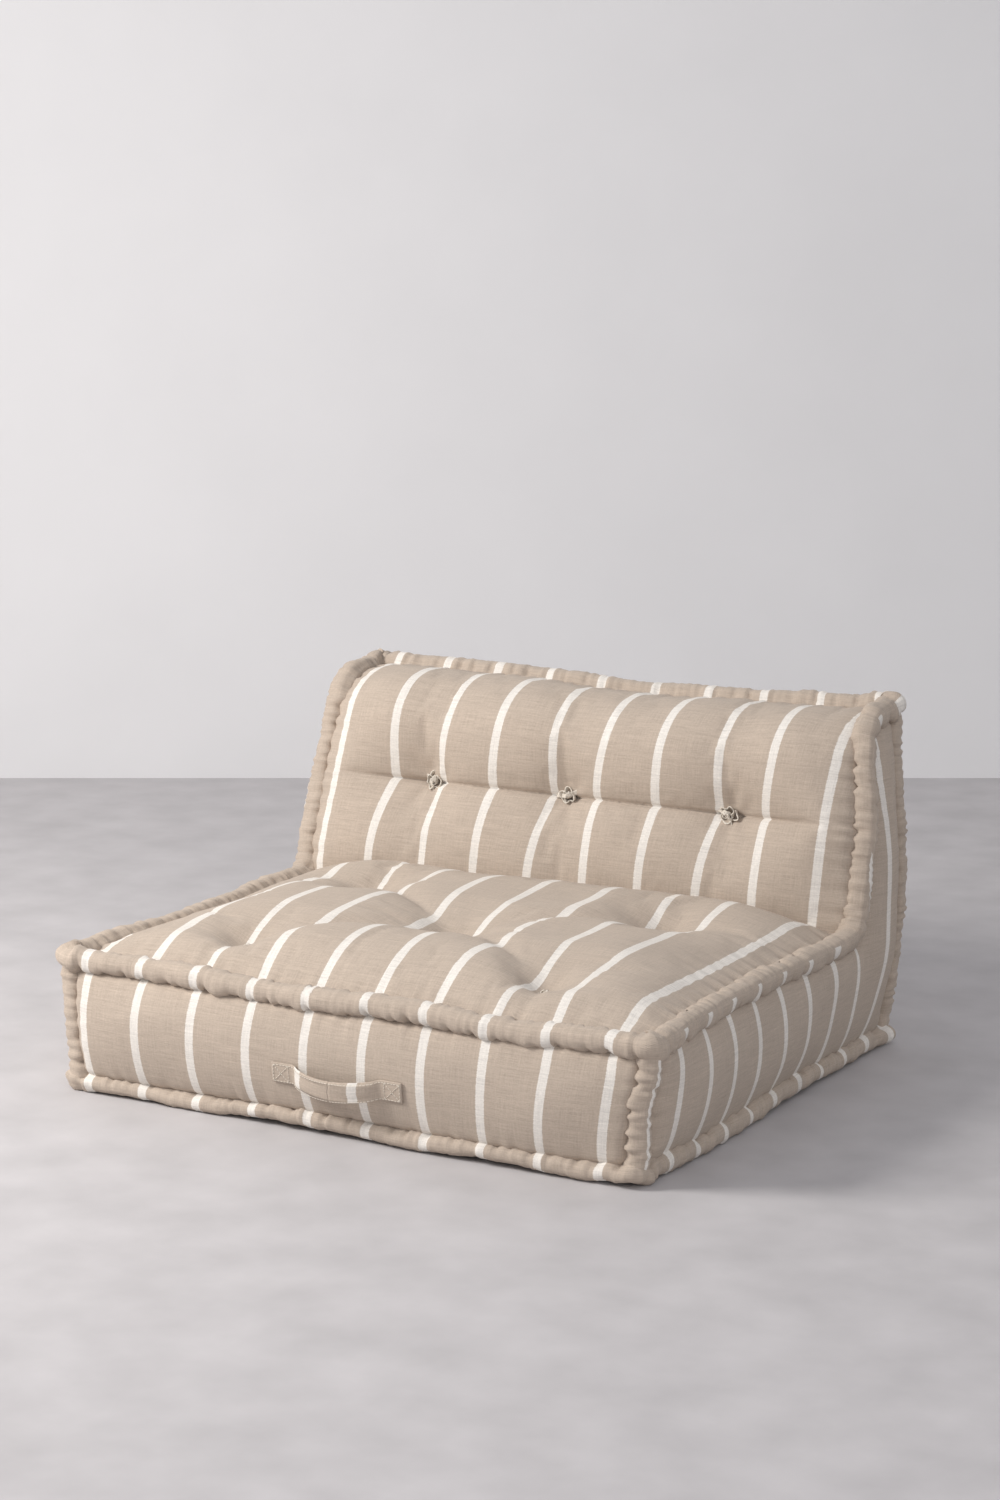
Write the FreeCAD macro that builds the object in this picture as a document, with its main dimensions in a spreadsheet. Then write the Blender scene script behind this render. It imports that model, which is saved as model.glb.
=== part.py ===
"""Floor sofa module made like a hand-sewn mattress.

A foam block and a foam wedge lie under wadding and crowned cloth panels. A stitched roll runs along
every edge, twines pull rosettes into tuft pits, and a strap handle is sewn low on the front.
The front faces -Y, +X is to the right of someone who looks at the front, and +Z is up. The origin lies
on the floor under the middle of the rolls.
"""
import FreeCAD, Part
import math
import os

import Sketcher

from FreeCAD import Placement, Rotation, Vector

# Driving dimensions in millimetres
SIZES = {
    "width": 980,  # over the side rolls
    "depth": 880,  # over the front and back rolls
    "seat_height": 232,  # top of the roll round the seat
    "back_height": 570,  # top of the roll behind the backrest
    "roll_diameter": 38,
    "roll_lift": 3,  # floor to the underside of the rolls at the floor
    "corner_bend": 40,  # bend of a roll's axis at a plan corner
    "seat_bend": 45,  # bend of the edge roll where the seat meets the backrest
    "top_bend": 60,  # bend of the edge roll at the top of the backrest
    "bend_facet": 30,  # largest turn of a roll from one section to the next, in degrees
    "backrest_depth": 220,  # at the seat, over the rolls
    "backrest_top_depth": 150,  # at the bend below the top, over the rolls
    "backrest_top_drop": 12,  # from the back roll down to that bend
    "base_thickness": 20,
    "wadding_thickness": 15,
    "clearance": 0.3,  # between pieces with curved faces
    "front_crown": 37,  # bulge of the front panel beyond its seams
    "front_end_crown": 12,  # its bulge beside the corner rolls
    "side_crown": 29,  # bulge of a side panel beyond its seams
    "side_seat_reach": 74,  # how far its curve runs in from the rolls of the seat
    "side_back_reach": 24,  # how far its curve runs in from the rolls of the backrest
    "side_top_bend": 46,  # bend of its edge under the top of the backrest
    "back_crown": 34,  # bulge of the back panel beyond its seams
    "back_end_crown": 10,  # its bulge beside the corner rolls
    "seam_swell": 5,  # bulge of the seat and the backrest right beside a roll
    "seat_crown": 52,  # crest of the seat above its seams
    "seat_crease": 41,  # creases between the seat tufts above the seams
    "seat_pit": 20,  # floor of a seat pit above the seams
    "seat_hump": 32,  # rise of a hump between two seat pits
    "backrest_crown": 34,  # bulge of the backrest between its tufts
    "backrest_crease": 16,  # bulge left in the crease through the tufts
    "backrest_pit": 2,  # bulge left at a tuft
    "backrest_hump": 24,  # rise of the backrest above and below a tuft
    "seat_tuft_spacing": 260,  # from the middle of the seat to the tufts beside it
    "seat_tuft_front": 130,  # front of the sofa to the front tufts
    "seat_tuft_rear": 485,  # front of the sofa to the rear tufts
    "backrest_tuft_spacing": 280,  # from the middle of the backrest to the tufts beside it
    "backrest_tuft_height": 383,
    "rosette_diameter": 36,
    "rosette_valley": 30,  # across the valleys between the pleats of a rosette
    "rosette_height": 7,
    "knot_diameter": 16,
    "knot_height": 6,
    "twine_diameter": 4,
    "washer_diameter": 30,
    "washer_thickness": 4,
    "strap_width": 32,
    "strap_thickness": 3,
    "strap_height": 87,  # floor to the middle of the handle
    "strap_end": 34,  # sewn length at each end
    "strap_rise": 20,  # length from a sewn end out to the grip
    "strap_standoff": 14,  # ends of the grip off the front panel
    "grip_length": 124,
    "grip_bow": 13,  # middle of the grip beyond its ends
}

# Places that follow from the driving dimensions
LAYOUT = {
    "roll_radius": "Dimensions.roll_diameter / 2",
    "axis_x": "Dimensions.width / 2 - roll_radius",
    "axis_y": "Dimensions.depth / 2 - roll_radius",
    "seat_seam_z": "Dimensions.seat_height - roll_radius",
    "base_axis_z": "Dimensions.roll_lift + roll_radius",
    "top_axis_z": "Dimensions.back_height - roll_radius",
    "straight_x": "axis_x - Dimensions.corner_bend",
    "seam_inset": "roll_radius + Dimensions.clearance",
    "core_x": "axis_x - seam_inset",
    "core_y": "axis_y - seam_inset",
    "core_top": "seat_seam_z - seam_inset",
    "foam_top": "core_top - Dimensions.wadding_thickness",
    "panel_foot_z": "base_axis_z + seam_inset",
    "corner_inset": "Dimensions.corner_bend * (1 - sqrt(0.5))",
    "corner_x": "axis_x - corner_inset",
    "corner_y": "axis_y - corner_inset",
    "panel_x": "corner_x - seam_inset",
    "facet_draw": "cos(Dimensions.bend_facet / 2)",
    "corner_reach": "(Dimensions.corner_bend - roll_radius) * facet_draw - 2 * Dimensions.clearance",
    "plan_fillet": "(sqrt(2) * (Dimensions.corner_bend - seam_inset) - corner_reach) / (sqrt(2) - 1)",
    "notch_gap": "seam_inset + roll_radius * roll_radius / (4 * Dimensions.corner_bend)",
    "junction_y": "Dimensions.depth / 2 - Dimensions.backrest_depth + roll_radius",
    "peak_y": "Dimensions.depth / 2 - Dimensions.backrest_top_depth + roll_radius",
    "peak_z": "top_axis_z - Dimensions.backrest_top_drop",
    "lean": "(peak_y - junction_y) / (peak_z - seat_seam_z)",
    "top_slope": "Dimensions.backrest_top_drop / (axis_y - peak_y)",
    "back_corner_z": "top_axis_z - top_slope * (corner_inset + roll_radius)",
    "lean_stretch": "sqrt(1 + lean * lean)",
    "top_stretch": "sqrt(1 + top_slope * top_slope)",
    "wadding_foot": "junction_y - lean * seat_seam_z + seam_inset * lean_stretch",
    "foam_foot": "wadding_foot + Dimensions.wadding_thickness * lean_stretch",
    "foam_cap": "peak_z - top_slope * peak_y - seam_inset * top_stretch",
    "foam_rear_z": "foam_cap + top_slope * core_y",
    "wadding_peak_y": "(wadding_foot + lean * foam_cap) / (1 - lean * top_slope)",
    "wadding_peak_z": "foam_cap + top_slope * wadding_peak_y",
    "foam_peak_y": "(foam_foot + lean * foam_cap) / (1 - lean * top_slope)",
    "foam_peak_z": "foam_cap + top_slope * foam_peak_y",
    "bore_diameter": "Dimensions.twine_diameter + 2 * Dimensions.clearance",
    "pit_diameter": "Dimensions.rosette_diameter + 2 * Dimensions.clearance",
    "recess_diameter": "Dimensions.washer_diameter + 2 * Dimensions.clearance",
    "seat_pit_z": "seat_seam_z + Dimensions.seat_pit",
    "front_row_y": "Dimensions.seat_tuft_front - Dimensions.depth / 2",
    "rear_row_y": "Dimensions.seat_tuft_rear - Dimensions.depth / 2",
    "middle_row_y": "(front_row_y + rear_row_y) / 2",
    "tuft_line_y": "junction_y + lean * (Dimensions.backrest_tuft_height - seat_seam_z)",
    "backrest_pit_y": "tuft_line_y - Dimensions.backrest_pit * lean_stretch",
    "washer_top_z": "Dimensions.base_thickness + Dimensions.washer_thickness",
    "washer_front_y": "core_y - Dimensions.washer_thickness",
    "grip_half": "Dimensions.grip_length / 2",
    "end_start": "grip_half + Dimensions.clearance",
    "end_sewn": "end_start + Dimensions.strap_rise",
    "end_stop": "end_sewn + Dimensions.strap_end",
    "grip_radius": "(grip_half * grip_half / Dimensions.grip_bow + Dimensions.grip_bow) / 2",
}

SIDES = {"left": -1, "right": 1}
TWINE_SIDES = 8
WASHER_SIDES = 12
PLEATS = 10  # of a rosette
UP = Vector(0, 0, 1)

doc = FreeCAD.newDocument("floor_sofa_module")
nodes = {}


def make_sheet(name, cells):
    """Write named cells to a sheet, one row each."""
    sheet = doc.addObject("Spreadsheet::Sheet", name)
    for row, (alias, content) in enumerate(cells.items(), start=1):
        sheet.set(f"A{row}", alias)
        sheet.set(f"B{row}", content)
        sheet.setAlias(f"B{row}", alias)
    doc.recompute()
    return sheet


dimensions = make_sheet("Dimensions", {alias: str(value) for alias, value in SIZES.items()})
layout = make_sheet("Layout", {alias: "=" + formula for alias, formula in LAYOUT.items()})


def size(alias):
    return float(dimensions.get(alias))


def spot(alias):
    return float(layout.get(alias))


def worth(expression):
    """Value of an expression over both sheets."""
    return float(dimensions.evalExpression(expression))


def add(kind, label, **expressions):
    """Add a document object and bind its sizes to the sheets."""
    made = doc.addObject(kind, label)
    made.Label = label
    for name, expression in expressions.items():
        made.setExpression(name, expression)
    return made


def keep(label, made):
    """Name a finished sub-part."""
    made.Label = label
    nodes[label] = made


def group(label, members):
    made = doc.addObject("Part::Compound", label)
    made.Links = list(members)
    return made


def boolean(kind, label, base, tool):
    made = doc.addObject(kind, label)
    made.Base = base
    made.Tool = tool
    return made


def cut(label, base, tools):
    return boolean("Part::Cut", label, base, group(label + "_tools", tools))


def origin_plane(body, role):
    return next(plane for plane in body.Origin.OriginFeatures if plane.Role == role)


def new_sketch(body, name, plane):
    sketch = body.newObject("Sketcher::SketchObject", name)
    sketch.AttachmentSupport = (origin_plane(body, plane), [""])
    sketch.MapMode = "FlatFace"
    return sketch


def bind_point(sketch, edge, end, across, upward):
    """Tie one end of a sketch edge to two expressions, measured from the sketch's origin."""
    for axis, kind, expression in ((-2, "DistanceX", across), (-1, "DistanceY", upward)):
        value = worth(expression)
        if abs(value) < 0.000001:
            sketch.addConstraint(Sketcher.Constraint("PointOnObject", edge, end, axis))
            continue
        ends = (-1, 1, edge, end) if value > 0 else (edge, end, -1, 1)
        number = sketch.addConstraint(Sketcher.Constraint(kind, *ends, abs(value)))
        signed = expression if value > 0 else f"-({expression})"
        sketch.setExpression(f"Constraints[{number}]", signed)


def bulging_arc(start, end, radius, side):
    """Lesser arc from start to end that bulges to the right of its chord for side 1, and left for -1."""
    chord = end - start
    right = Vector(chord.y, -chord.x, 0).normalize()
    sagitta = radius - math.sqrt(radius * radius - chord.Length * chord.Length / 4)
    return Part.Arc(start, (start + end) * 0.5 + right * sagitta * side, end)


def draw_outline(sketch, corners, arcs):
    """Draw a closed outline through corners given as pairs of expressions.

    arcs maps a corner's number to the radius and side of the arc from that corner to the next.
    """
    points = [Vector(worth(across), worth(upward), 0) for across, upward in corners]
    # A sketch arc always runs anticlockwise, so one that bulges left has its ends swapped.
    swapped = {number for number, (radius, side) in arcs.items() if side < 0}
    for number, start in enumerate(points):
        end = points[(number + 1) % len(points)]
        if number in arcs:
            radius, side = arcs[number]
            edge = bulging_arc(start, end, worth(radius), side)
        else:
            edge = Part.LineSegment(start, end)
        sketch.addGeometry(edge, False)
    for number, (across, upward) in enumerate(corners):
        before = (number - 1) % len(corners)
        last = 1 if before in swapped else 2
        first = 2 if number in swapped else 1
        sketch.addConstraint(Sketcher.Constraint("Coincident", before, last, number, first))
        bind_point(sketch, number, first, across, upward)
    for number, (radius, side) in arcs.items():
        row = sketch.addConstraint(Sketcher.Constraint("Radius", number, worth(radius)))
        sketch.setExpression(f"Constraints[{row}]", radius)


def pad_body(label, plane, corners, length, arcs={}, symmetric=False, start="0"):
    """A body with one padded outline, which starts at a distance from its plane."""
    body = add("PartDesign::Body", label + "_body")
    sketch = new_sketch(body, label + "_sketch", plane)
    draw_outline(sketch, corners, arcs)
    sketch.setExpression("AttachmentOffset.Base.z", start)
    pad = body.newObject("PartDesign::Pad", label + "_pad")
    pad.Profile = sketch
    pad.setExpression("Length", length)
    pad.SideType = "Symmetric" if symmetric else "One side"
    body.Tip = pad
    doc.recompute()
    return body


def round_edges(body, radius, wanted):
    """Round those edges of a body that the test accepts."""
    base = body.Tip
    edges = enumerate(base.Shape.Edges, start=1)
    names = [f"Edge{number}" for number, edge in edges if wanted(edge)]
    fillet = body.newObject("PartDesign::Fillet", base.Name + "_fillet")
    fillet.Base = (base, names)
    fillet.setExpression("Radius", radius)
    body.Tip = fillet
    doc.recompute()
    return body


def is_upright(edge):
    first, last = (edge.valueAt(end) for end in edge.ParameterRange)
    return first.distanceToLine(last, UP) < 0.001


def upright_at(y):
    """Test for the upright edges at a given y."""
    return lambda edge: is_upright(edge) and abs(edge.CenterOfMass.y - y) < 0.001


def plan_corners(front, rear):
    """Corners of a plan as wide as the core, from a front to a rear expression."""
    left, right = "-Layout.core_x", "Layout.core_x"
    return [(left, front), (right, front), (right, rear), (left, rear)]


def section(points, bulges, chords=6):
    """A closed wire through points, with an arc of chords wherever a bulge of the edge's middle is given."""
    corners = []
    for number, start in enumerate(points):
        corners.append(start)
        end = points[(number + 1) % len(points)]
        if number in bulges:
            arc = Part.Arc(start, (start + end) * 0.5 + bulges[number], end)
            corners += arc.discretize(Number=chords + 1)[1:-1]
    return Part.makePolygon(corners + corners[:1])


def ruled_loft(label, wires):
    """A solid with straight rulings from each closed wire to the next."""
    sections = []
    for number, wire in enumerate(wires, start=1):
        section = doc.addObject("Part::Feature", f"{label}_section_{number}")
        section.Shape = wire
        sections.append(section)
    made = doc.addObject("Part::Loft", label + "_loft")
    made.Sections = sections
    made.Solid = True
    made.Ruled = True
    return made


def fade(place, half):
    """1 in the middle of a panel and 0 at its ends, flat over most of the way."""
    return 1 - (place / half) ** 4


def spread(half, spans):
    """Places from -half to half in equal steps."""
    return [half * (2 * step / spans - 1) for step in range(spans + 1)]


def tuft_stations(half, spacing, steps):
    """Places across a tufted panel: its ends, its tufts, the middles between them, and steps between those."""
    marks = [0, spacing / 2, spacing, (spacing + half) / 2, half]
    places = {0}
    for low, high in zip(marks, marks[1:]):
        for step in range(1, steps + 1):
            place = low + (high - low) * step / steps
            places |= {place, -place}
    return marks, sorted(places)


def eased(marks, values, place):
    """Values at a place, eased from each mark to the next."""
    reach = abs(place)
    number = max(number for number, mark in enumerate(marks[:-1]) if mark <= reach)
    share = (reach - marks[number]) / (marks[number + 1] - marks[number])
    weight = (1 - math.cos(math.pi * min(share, 1))) / 2
    return [low + (high - low) * weight for low, high in zip(values[number], values[number + 1])]


def bend_points(before, corner, after, bend):
    """Start, middle and end of the arc that rounds a corner between two straight runs."""
    inward = (corner - before).normalize()
    onward = (after - corner).normalize()
    turn = inward.getAngle(onward)
    reach = bend * math.tan(turn / 2)
    toward = (onward - inward).normalize()
    middle = corner + toward * (bend / math.cos(turn / 2) - bend)
    return corner - inward * reach, middle, corner + onward * reach


def path_stations(points, bends):
    """Places and directions along straight runs with a rounded corner at every inner point."""
    stations = [(points[0], (points[1] - points[0]).normalize())]
    corners = zip(points, points[1:], points[2:], bends)
    for before, corner, after, bend in corners:
        arc = Part.Arc(*bend_points(before, corner, after, bend))
        facets = math.ceil(math.degrees(arc.LastParameter - arc.FirstParameter) / size("bend_facet"))
        for step in range(facets + 1):
            turn = arc.FirstParameter + (arc.LastParameter - arc.FirstParameter) * step / facets
            place = arc.value(turn)
            if place.distanceToPoint(stations[-1][0]) > 0.001:
                stations.append((place, arc.tangent(turn)[0]))
    if points[-1].distanceToPoint(stations[-1][0]) > 0.001:
        stations.append((points[-1], (points[-1] - points[-2]).normalize()))
    return stations


def bent_roll(label, points, bends):
    """A roll along straight runs and bends, lofted through round sections of three arcs each."""
    radius = spot("roll_radius")
    thirds = [number * math.pi / 3 for number in range(7)]
    wires = []
    side = UP
    for place, ahead in path_stations(points, bends):
        side = (side - ahead * side.dot(ahead)).normalize()
        across = ahead.cross(side)
        rim = [place + (side * math.cos(turn) + across * math.sin(turn)) * radius for turn in thirds]
        arcs = [Part.Arc(*rim[first:first + 3]).toShape() for first in (0, 2, 4)]
        wires.append(Part.Wire(arcs))
    keep(label, ruled_loft(label, wires))


def straight_roll(label, y, z):
    """A roll along X between two corner bends."""
    roll = add("Part::Cylinder", label, Radius="Layout.roll_radius", Height="2 * Layout.straight_x")
    roll.Placement = Placement(Vector(-spot("straight_x"), y, z), Rotation(UP, Vector(1, 0, 0)))
    keep(label, roll)


def seat_tufts():
    """Places of the seat tufts, four round one."""
    places = [(0, spot("middle_row_y"))]
    for row in ("front_row_y", "rear_row_y"):
        for side in SIDES.values():
            places.append((side * size("seat_tuft_spacing"), spot(row)))
    return places


def backrest_tufts():
    """Places of the backrest tufts."""
    height = size("backrest_tuft_height")
    return [(step * size("backrest_tuft_spacing"), height) for step in (-1, 0, 1)]


def bar(label, sides, diameter, length, start, direction):
    """A bar with a number of flat sides, its diameter and length bound to the sheets."""
    made = add("Part::Prism", label, Circumradius=f"({diameter}) / 2", Height=length)
    made.Polygon = sides
    made.Placement = Placement(start, Rotation(UP, direction))
    return made


def seat_bars(label, sides, diameter, bottom, top):
    """One upright bar at every seat tuft, between two height expressions."""
    return [bar(f"{label}_{number}", sides, diameter, f"{top} - {bottom}", Vector(x, y, worth(bottom)), UP)
            for number, (x, y) in enumerate(seat_tufts(), start=1)]


def backrest_bars(label, sides, diameter, front, rear):
    """One level bar at every backrest tuft, between two expressions for y."""
    back = Vector(0, 1, 0)
    return [bar(f"{label}_{number}", sides, diameter, f"{rear} - {front}", Vector(x, worth(front), z), back)
            for number, (x, z) in enumerate(backrest_tufts(), start=1)]


def seat_bores(label):
    """Channels for the twines through a piece of the seat."""
    return seat_bars(label + "_bore", TWINE_SIDES, "Layout.bore_diameter", "0", "2 * Dimensions.seat_height")


def backrest_bores(label):
    """Channels for the twines through a piece of the backrest."""
    return backrest_bars(label + "_bore", TWINE_SIDES, "Layout.bore_diameter", "0", "Dimensions.depth")


def make_foam():
    """The foam block under the whole sofa and the wedge on its rear end, with seats for the washers."""
    plan = plan_corners("-Layout.core_y", "Layout.core_y")
    base, top = "Dimensions.base_thickness", "Layout.foam_top"
    block = pad_body("seat_foam", "XY_Plane", plan, f"{top} - {base}", start=base)
    round_edges(block, "Dimensions.corner_bend", is_upright)
    recesses = seat_bars("seat_foam_recess", WASHER_SIDES, "Layout.recess_diameter", "0", "Layout.washer_top_z")
    keep("seat_foam", cut("seat_foam", block, seat_bores("seat_foam") + recesses))
    profile = [("Layout.foam_foot + Layout.lean * Layout.foam_top", top), ("Layout.core_y", top),
               ("Layout.core_y", "Layout.foam_rear_z"), ("Layout.foam_peak_y", "Layout.foam_peak_z")]
    wedge = pad_body("backrest_foam", "YZ_Plane", profile, "2 * Layout.core_x", symmetric=True)
    round_edges(wedge, "Dimensions.corner_bend", upright_at(spot("core_y")))
    recesses = backrest_bars("backrest_foam_recess", WASHER_SIDES, "Layout.recess_diameter",
                             "Layout.washer_front_y", "Dimensions.depth")
    keep("backrest_foam", cut("backrest_foam", wedge, backrest_bores("backrest_foam") + recesses))


def make_wadding():
    """Wadding on top of the foam block and on the front of the wedge."""
    front_foot = "Layout.wadding_foot + Layout.lean * Layout.foam_top"
    rear_foot = "Layout.foam_foot + Layout.lean * Layout.foam_top"
    flat = pad_body("seat_wadding", "XY_Plane", plan_corners("-Layout.core_y", front_foot),
                    "Dimensions.wadding_thickness", start="Layout.foam_top")
    round_edges(flat, "Dimensions.corner_bend", upright_at(-spot("core_y")))
    keep("seat_wadding", cut("seat_wadding", flat, seat_bores("seat_wadding")))
    profile = [(front_foot, "Layout.foam_top"), (rear_foot, "Layout.foam_top"),
               ("Layout.foam_peak_y", "Layout.foam_peak_z"), ("Layout.wadding_peak_y", "Layout.wadding_peak_z")]
    leaning = pad_body("backrest_wadding", "YZ_Plane", profile, "2 * Layout.core_x", symmetric=True)
    keep("backrest_wadding", cut("backrest_wadding", leaning, backrest_bores("backrest_wadding")))


def make_base_cover():
    """Flat panel that the sofa stands on."""
    slab = pad_body("base_cover", "XY_Plane", plan_corners("-Layout.core_y", "Layout.core_y"),
                    "Dimensions.base_thickness")
    keep("base_cover", round_edges(slab, "Layout.plan_fillet", is_upright))


def make_end_panel(label, facing, head, crown, end_crown):
    """Convex panel in front of the foam, or behind it, between the rolls round it."""
    half, foot = spot("panel_x"), spot("panel_foot_z")
    inner, seam = facing * spot("core_y"), facing * spot("axis_y")
    wires = []
    for x in spread(half, spans=8):
        bulge = Vector(0, facing * (end_crown + (crown - end_crown) * fade(x, half)), 0)
        points = [Vector(x, inner, foot), Vector(x, seam, foot), Vector(x, seam, head), Vector(x, inner, head)]
        wires.append(section(points, {1: bulge}, chords=9))
    keep(label, ruled_loft(label, wires))


def make_seat_cover():
    """Crowned seat panel with humps between creases that run from tuft to tuft."""
    half = spot("core_x")
    seam, floor = spot("seat_seam_z"), spot("core_top")
    front, rear = -spot("core_y"), spot("junction_y") - size("clearance")
    front_row, middle_row, rear_row = spot("front_row_y"), spot("middle_row_y"), spot("rear_row_y")
    swell, crown, crease = size("seam_swell"), size("seat_crown"), size("seat_crease")
    pit, hump = size("seat_pit"), size("seat_hump")
    knot = size("rosette_diameter") / 2
    # At each mark: the places of both creases, their height, the rise of the end humps and of the middle one
    marks, places = tuft_stations(half, size("seat_tuft_spacing"), steps=2)
    values = [
        (middle_row - knot, middle_row + knot, pit, crown - pit / 2, swell),
        ((front_row + middle_row) / 2, (rear_row + middle_row) / 2, crease, crown - crease / 2, crown - crease),
        (front_row, rear_row, pit, hump, hump),
        (front_row, rear_row, (crease + swell) / 2, hump / 2, hump / 2),
        (front_row, rear_row, swell, swell, swell),
    ]
    wires = []
    for x in places:
        first, second, height, end_rise, middle_rise = eased(marks, values, x)
        points = [Vector(x, front, floor), Vector(x, front, seam), Vector(x, first, seam + height),
                  Vector(x, second, seam + height), Vector(x, rear, seam), Vector(x, rear, floor)]
        wires.append(section(points, {1: UP * end_rise, 2: UP * middle_rise, 3: UP * end_rise}))
    trim = pad_body("seat_cover_trim", "XY_Plane", plan_corners("-Layout.core_y", "Layout.core_y"),
                    "2 * Dimensions.seat_height")
    round_edges(trim, "Layout.plan_fillet", upright_at(front))
    shaped = boolean("Part::Common", "seat_cover_shaped", ruled_loft("seat_cover", wires), trim)
    pits = seat_bars("seat_cover_pit", 2 * PLEATS, "Layout.pit_diameter", "Layout.seat_pit_z",
                     "2 * Dimensions.seat_height")
    keep("seat_cover", cut("seat_cover", shaped, seat_bores("seat_cover") + pits))


def make_backrest_cover():
    """Leaning panel with a crease through its tufts, rounded over the top to the back roll."""
    half = spot("core_x")
    junction = Vector(0, spot("junction_y"), spot("seat_seam_z"))
    peak = Vector(0, spot("peak_y"), spot("peak_z"))
    along = (peak - junction).normalize()
    out = Vector(0, -along.z, along.y)
    tuft = Vector(0, spot("tuft_line_y"), size("backrest_tuft_height"))
    rear_seam = Vector(0, spot("core_y"), spot("top_axis_z"))
    shoulder = peak - along * size("top_bend")
    floor = spot("core_top")
    inner = [
        Vector(0, spot("core_y"), spot("foam_rear_z")),
        Vector(0, spot("wadding_peak_y"), spot("wadding_peak_z")),
        Vector(0, spot("wadding_foot") + spot("lean") * floor, floor),
        Vector(0, spot("junction_y"), floor),
    ]
    swell, crown, crease = size("seam_swell"), size("backrest_crown"), size("backrest_crease")
    pit, hump = size("backrest_pit"), size("backrest_hump")
    round_over = size("top_bend") / 3
    # At each mark: the bulge at the crease, the rise above and below it, and the bulge below the top
    marks, places = tuft_stations(half, size("backrest_tuft_spacing"), steps=2)
    values = [
        (pit, hump, crown / 2),
        (crease, crown - crease, crown / 2),
        (pit, hump, crown / 2),
        ((crease + swell) / 2, hump / 2, (crown / 2 + swell) / 2),
        (swell, swell, swell),
    ]
    wires = []
    for x in places:
        middle, rise, top = eased(marks, values, x)
        rim = [junction, tuft + out * middle, shoulder + out * top, rear_seam]
        over = (rim[3] - rim[2]).cross(Vector(-1, 0, 0)).normalize() * (round_over + top)
        points = [Vector(x, 0, 0) + point for point in rim + inner]
        wires.append(section(points, {0: out * rise, 1: out * rise, 2: over}))
    trim = pad_body("backrest_cover_trim", "XY_Plane", plan_corners("-Layout.core_y", "Layout.core_y"),
                    "2 * Dimensions.back_height")
    round_edges(trim, "Layout.plan_fillet", upright_at(spot("core_y")))
    shaped = boolean("Part::Common", "backrest_cover_shaped", ruled_loft("backrest_cover", wires), trim)
    pits = backrest_bars("backrest_cover_pit", 2 * PLEATS, "Layout.pit_diameter", "0", "Layout.backrest_pit_y")
    keep("backrest_cover", cut("backrest_cover", shaped, backrest_bores("backrest_cover") + pits))


def side_outline(x, seat_inset, back_inset):
    """L-shaped outline of a side panel, drawn in from the rolls of the seat and of the backrest."""
    seat_gap, back_gap = spot("seam_inset") + seat_inset, spot("seam_inset") + back_inset
    lean, slope = spot("lean"), spot("top_slope")
    front, rear = seat_gap - spot("corner_y"), spot("corner_y") - back_gap
    foot, seat = spot("base_axis_z") + seat_gap, spot("seat_seam_z") - seat_gap
    lean_foot = spot("junction_y") - lean * spot("seat_seam_z") + back_gap * spot("lean_stretch")
    cap = spot("peak_z") - slope * spot("peak_y") - back_gap * spot("top_stretch")
    peak_y = (lean_foot + lean * cap) / (1 - lean * slope)
    top_rear = Vector(x, rear, cap + slope * rear)
    peak = Vector(x, peak_y, cap + slope * peak_y)
    junction = Vector(x, lean_foot + lean * seat, seat)
    front_top = Vector(x, front, seat)
    peak_start, peak_middle, peak_end = bend_points(top_rear, peak, junction, size("side_top_bend") - back_inset)
    bend = size("seat_bend") + seat_gap
    bend_start, bend_middle, bend_end = bend_points(peak, junction, front_top, bend)
    points = [Vector(x, front, foot), Vector(x, rear, foot), top_rear, peak_start, peak_end, bend_start,
              bend_end, front_top]
    bulges = {3: peak_middle - (peak_start + peak_end) * 0.5, 5: bend_middle - (bend_start + bend_end) * 0.5}
    return section(points, bulges)


def make_side_covers():
    """L-shaped convex panels, each curved in from its rolls to a ridge along its middle."""
    crown, seat_reach, back_reach = size("side_crown"), size("side_seat_reach"), size("side_back_reach")
    for name, side in SIDES.items():
        label = name + "_side_cover"
        wires = [side_outline(side * spot("core_x"), 0, 0)]
        for degrees in range(0, 91, 15):
            turn = math.radians(degrees)
            draw = 1 - math.cos(turn)
            x = side * (spot("axis_x") + crown * math.sin(turn))
            wires.append(side_outline(x, seat_reach * draw, back_reach * draw))
        keep(label, ruled_loft(label, wires))


def make_edge_rolls():
    """Rolls round the seat, up the backrest and over its top, and the roll behind the top."""
    bend = size("corner_bend")
    seat_z, top_z, y = spot("seat_seam_z"), spot("top_axis_z"), spot("axis_y")
    for name, side in SIDES.items():
        x, straight_x = side * spot("axis_x"), side * spot("straight_x")
        points = [
            Vector(straight_x, -y, seat_z),
            Vector(x, -y, seat_z),
            Vector(x, spot("junction_y"), seat_z),
            Vector(x, spot("peak_y"), spot("peak_z")),
            Vector(x, y, top_z),
            Vector(straight_x, y, top_z),
        ]
        bent_roll(name + "_edge_roll", points, [bend, size("seat_bend"), size("top_bend"), bend])
    straight_roll("front_seat_roll", -y, seat_z)
    straight_roll("back_top_roll", y, top_z)


def make_base_rolls():
    """Rolls round the base, just off the floor."""
    bend = size("corner_bend")
    y, z = spot("axis_y"), spot("base_axis_z")
    for name, side in SIDES.items():
        x, straight_x = side * spot("axis_x"), side * spot("straight_x")
        points = [Vector(straight_x, -y, z), Vector(x, -y, z), Vector(x, y, z), Vector(straight_x, y, z)]
        bent_roll(name + "_base_roll", points, [bend, bend])
    straight_roll("front_base_roll", -y, z)
    straight_roll("back_base_roll", y, z)


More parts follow.
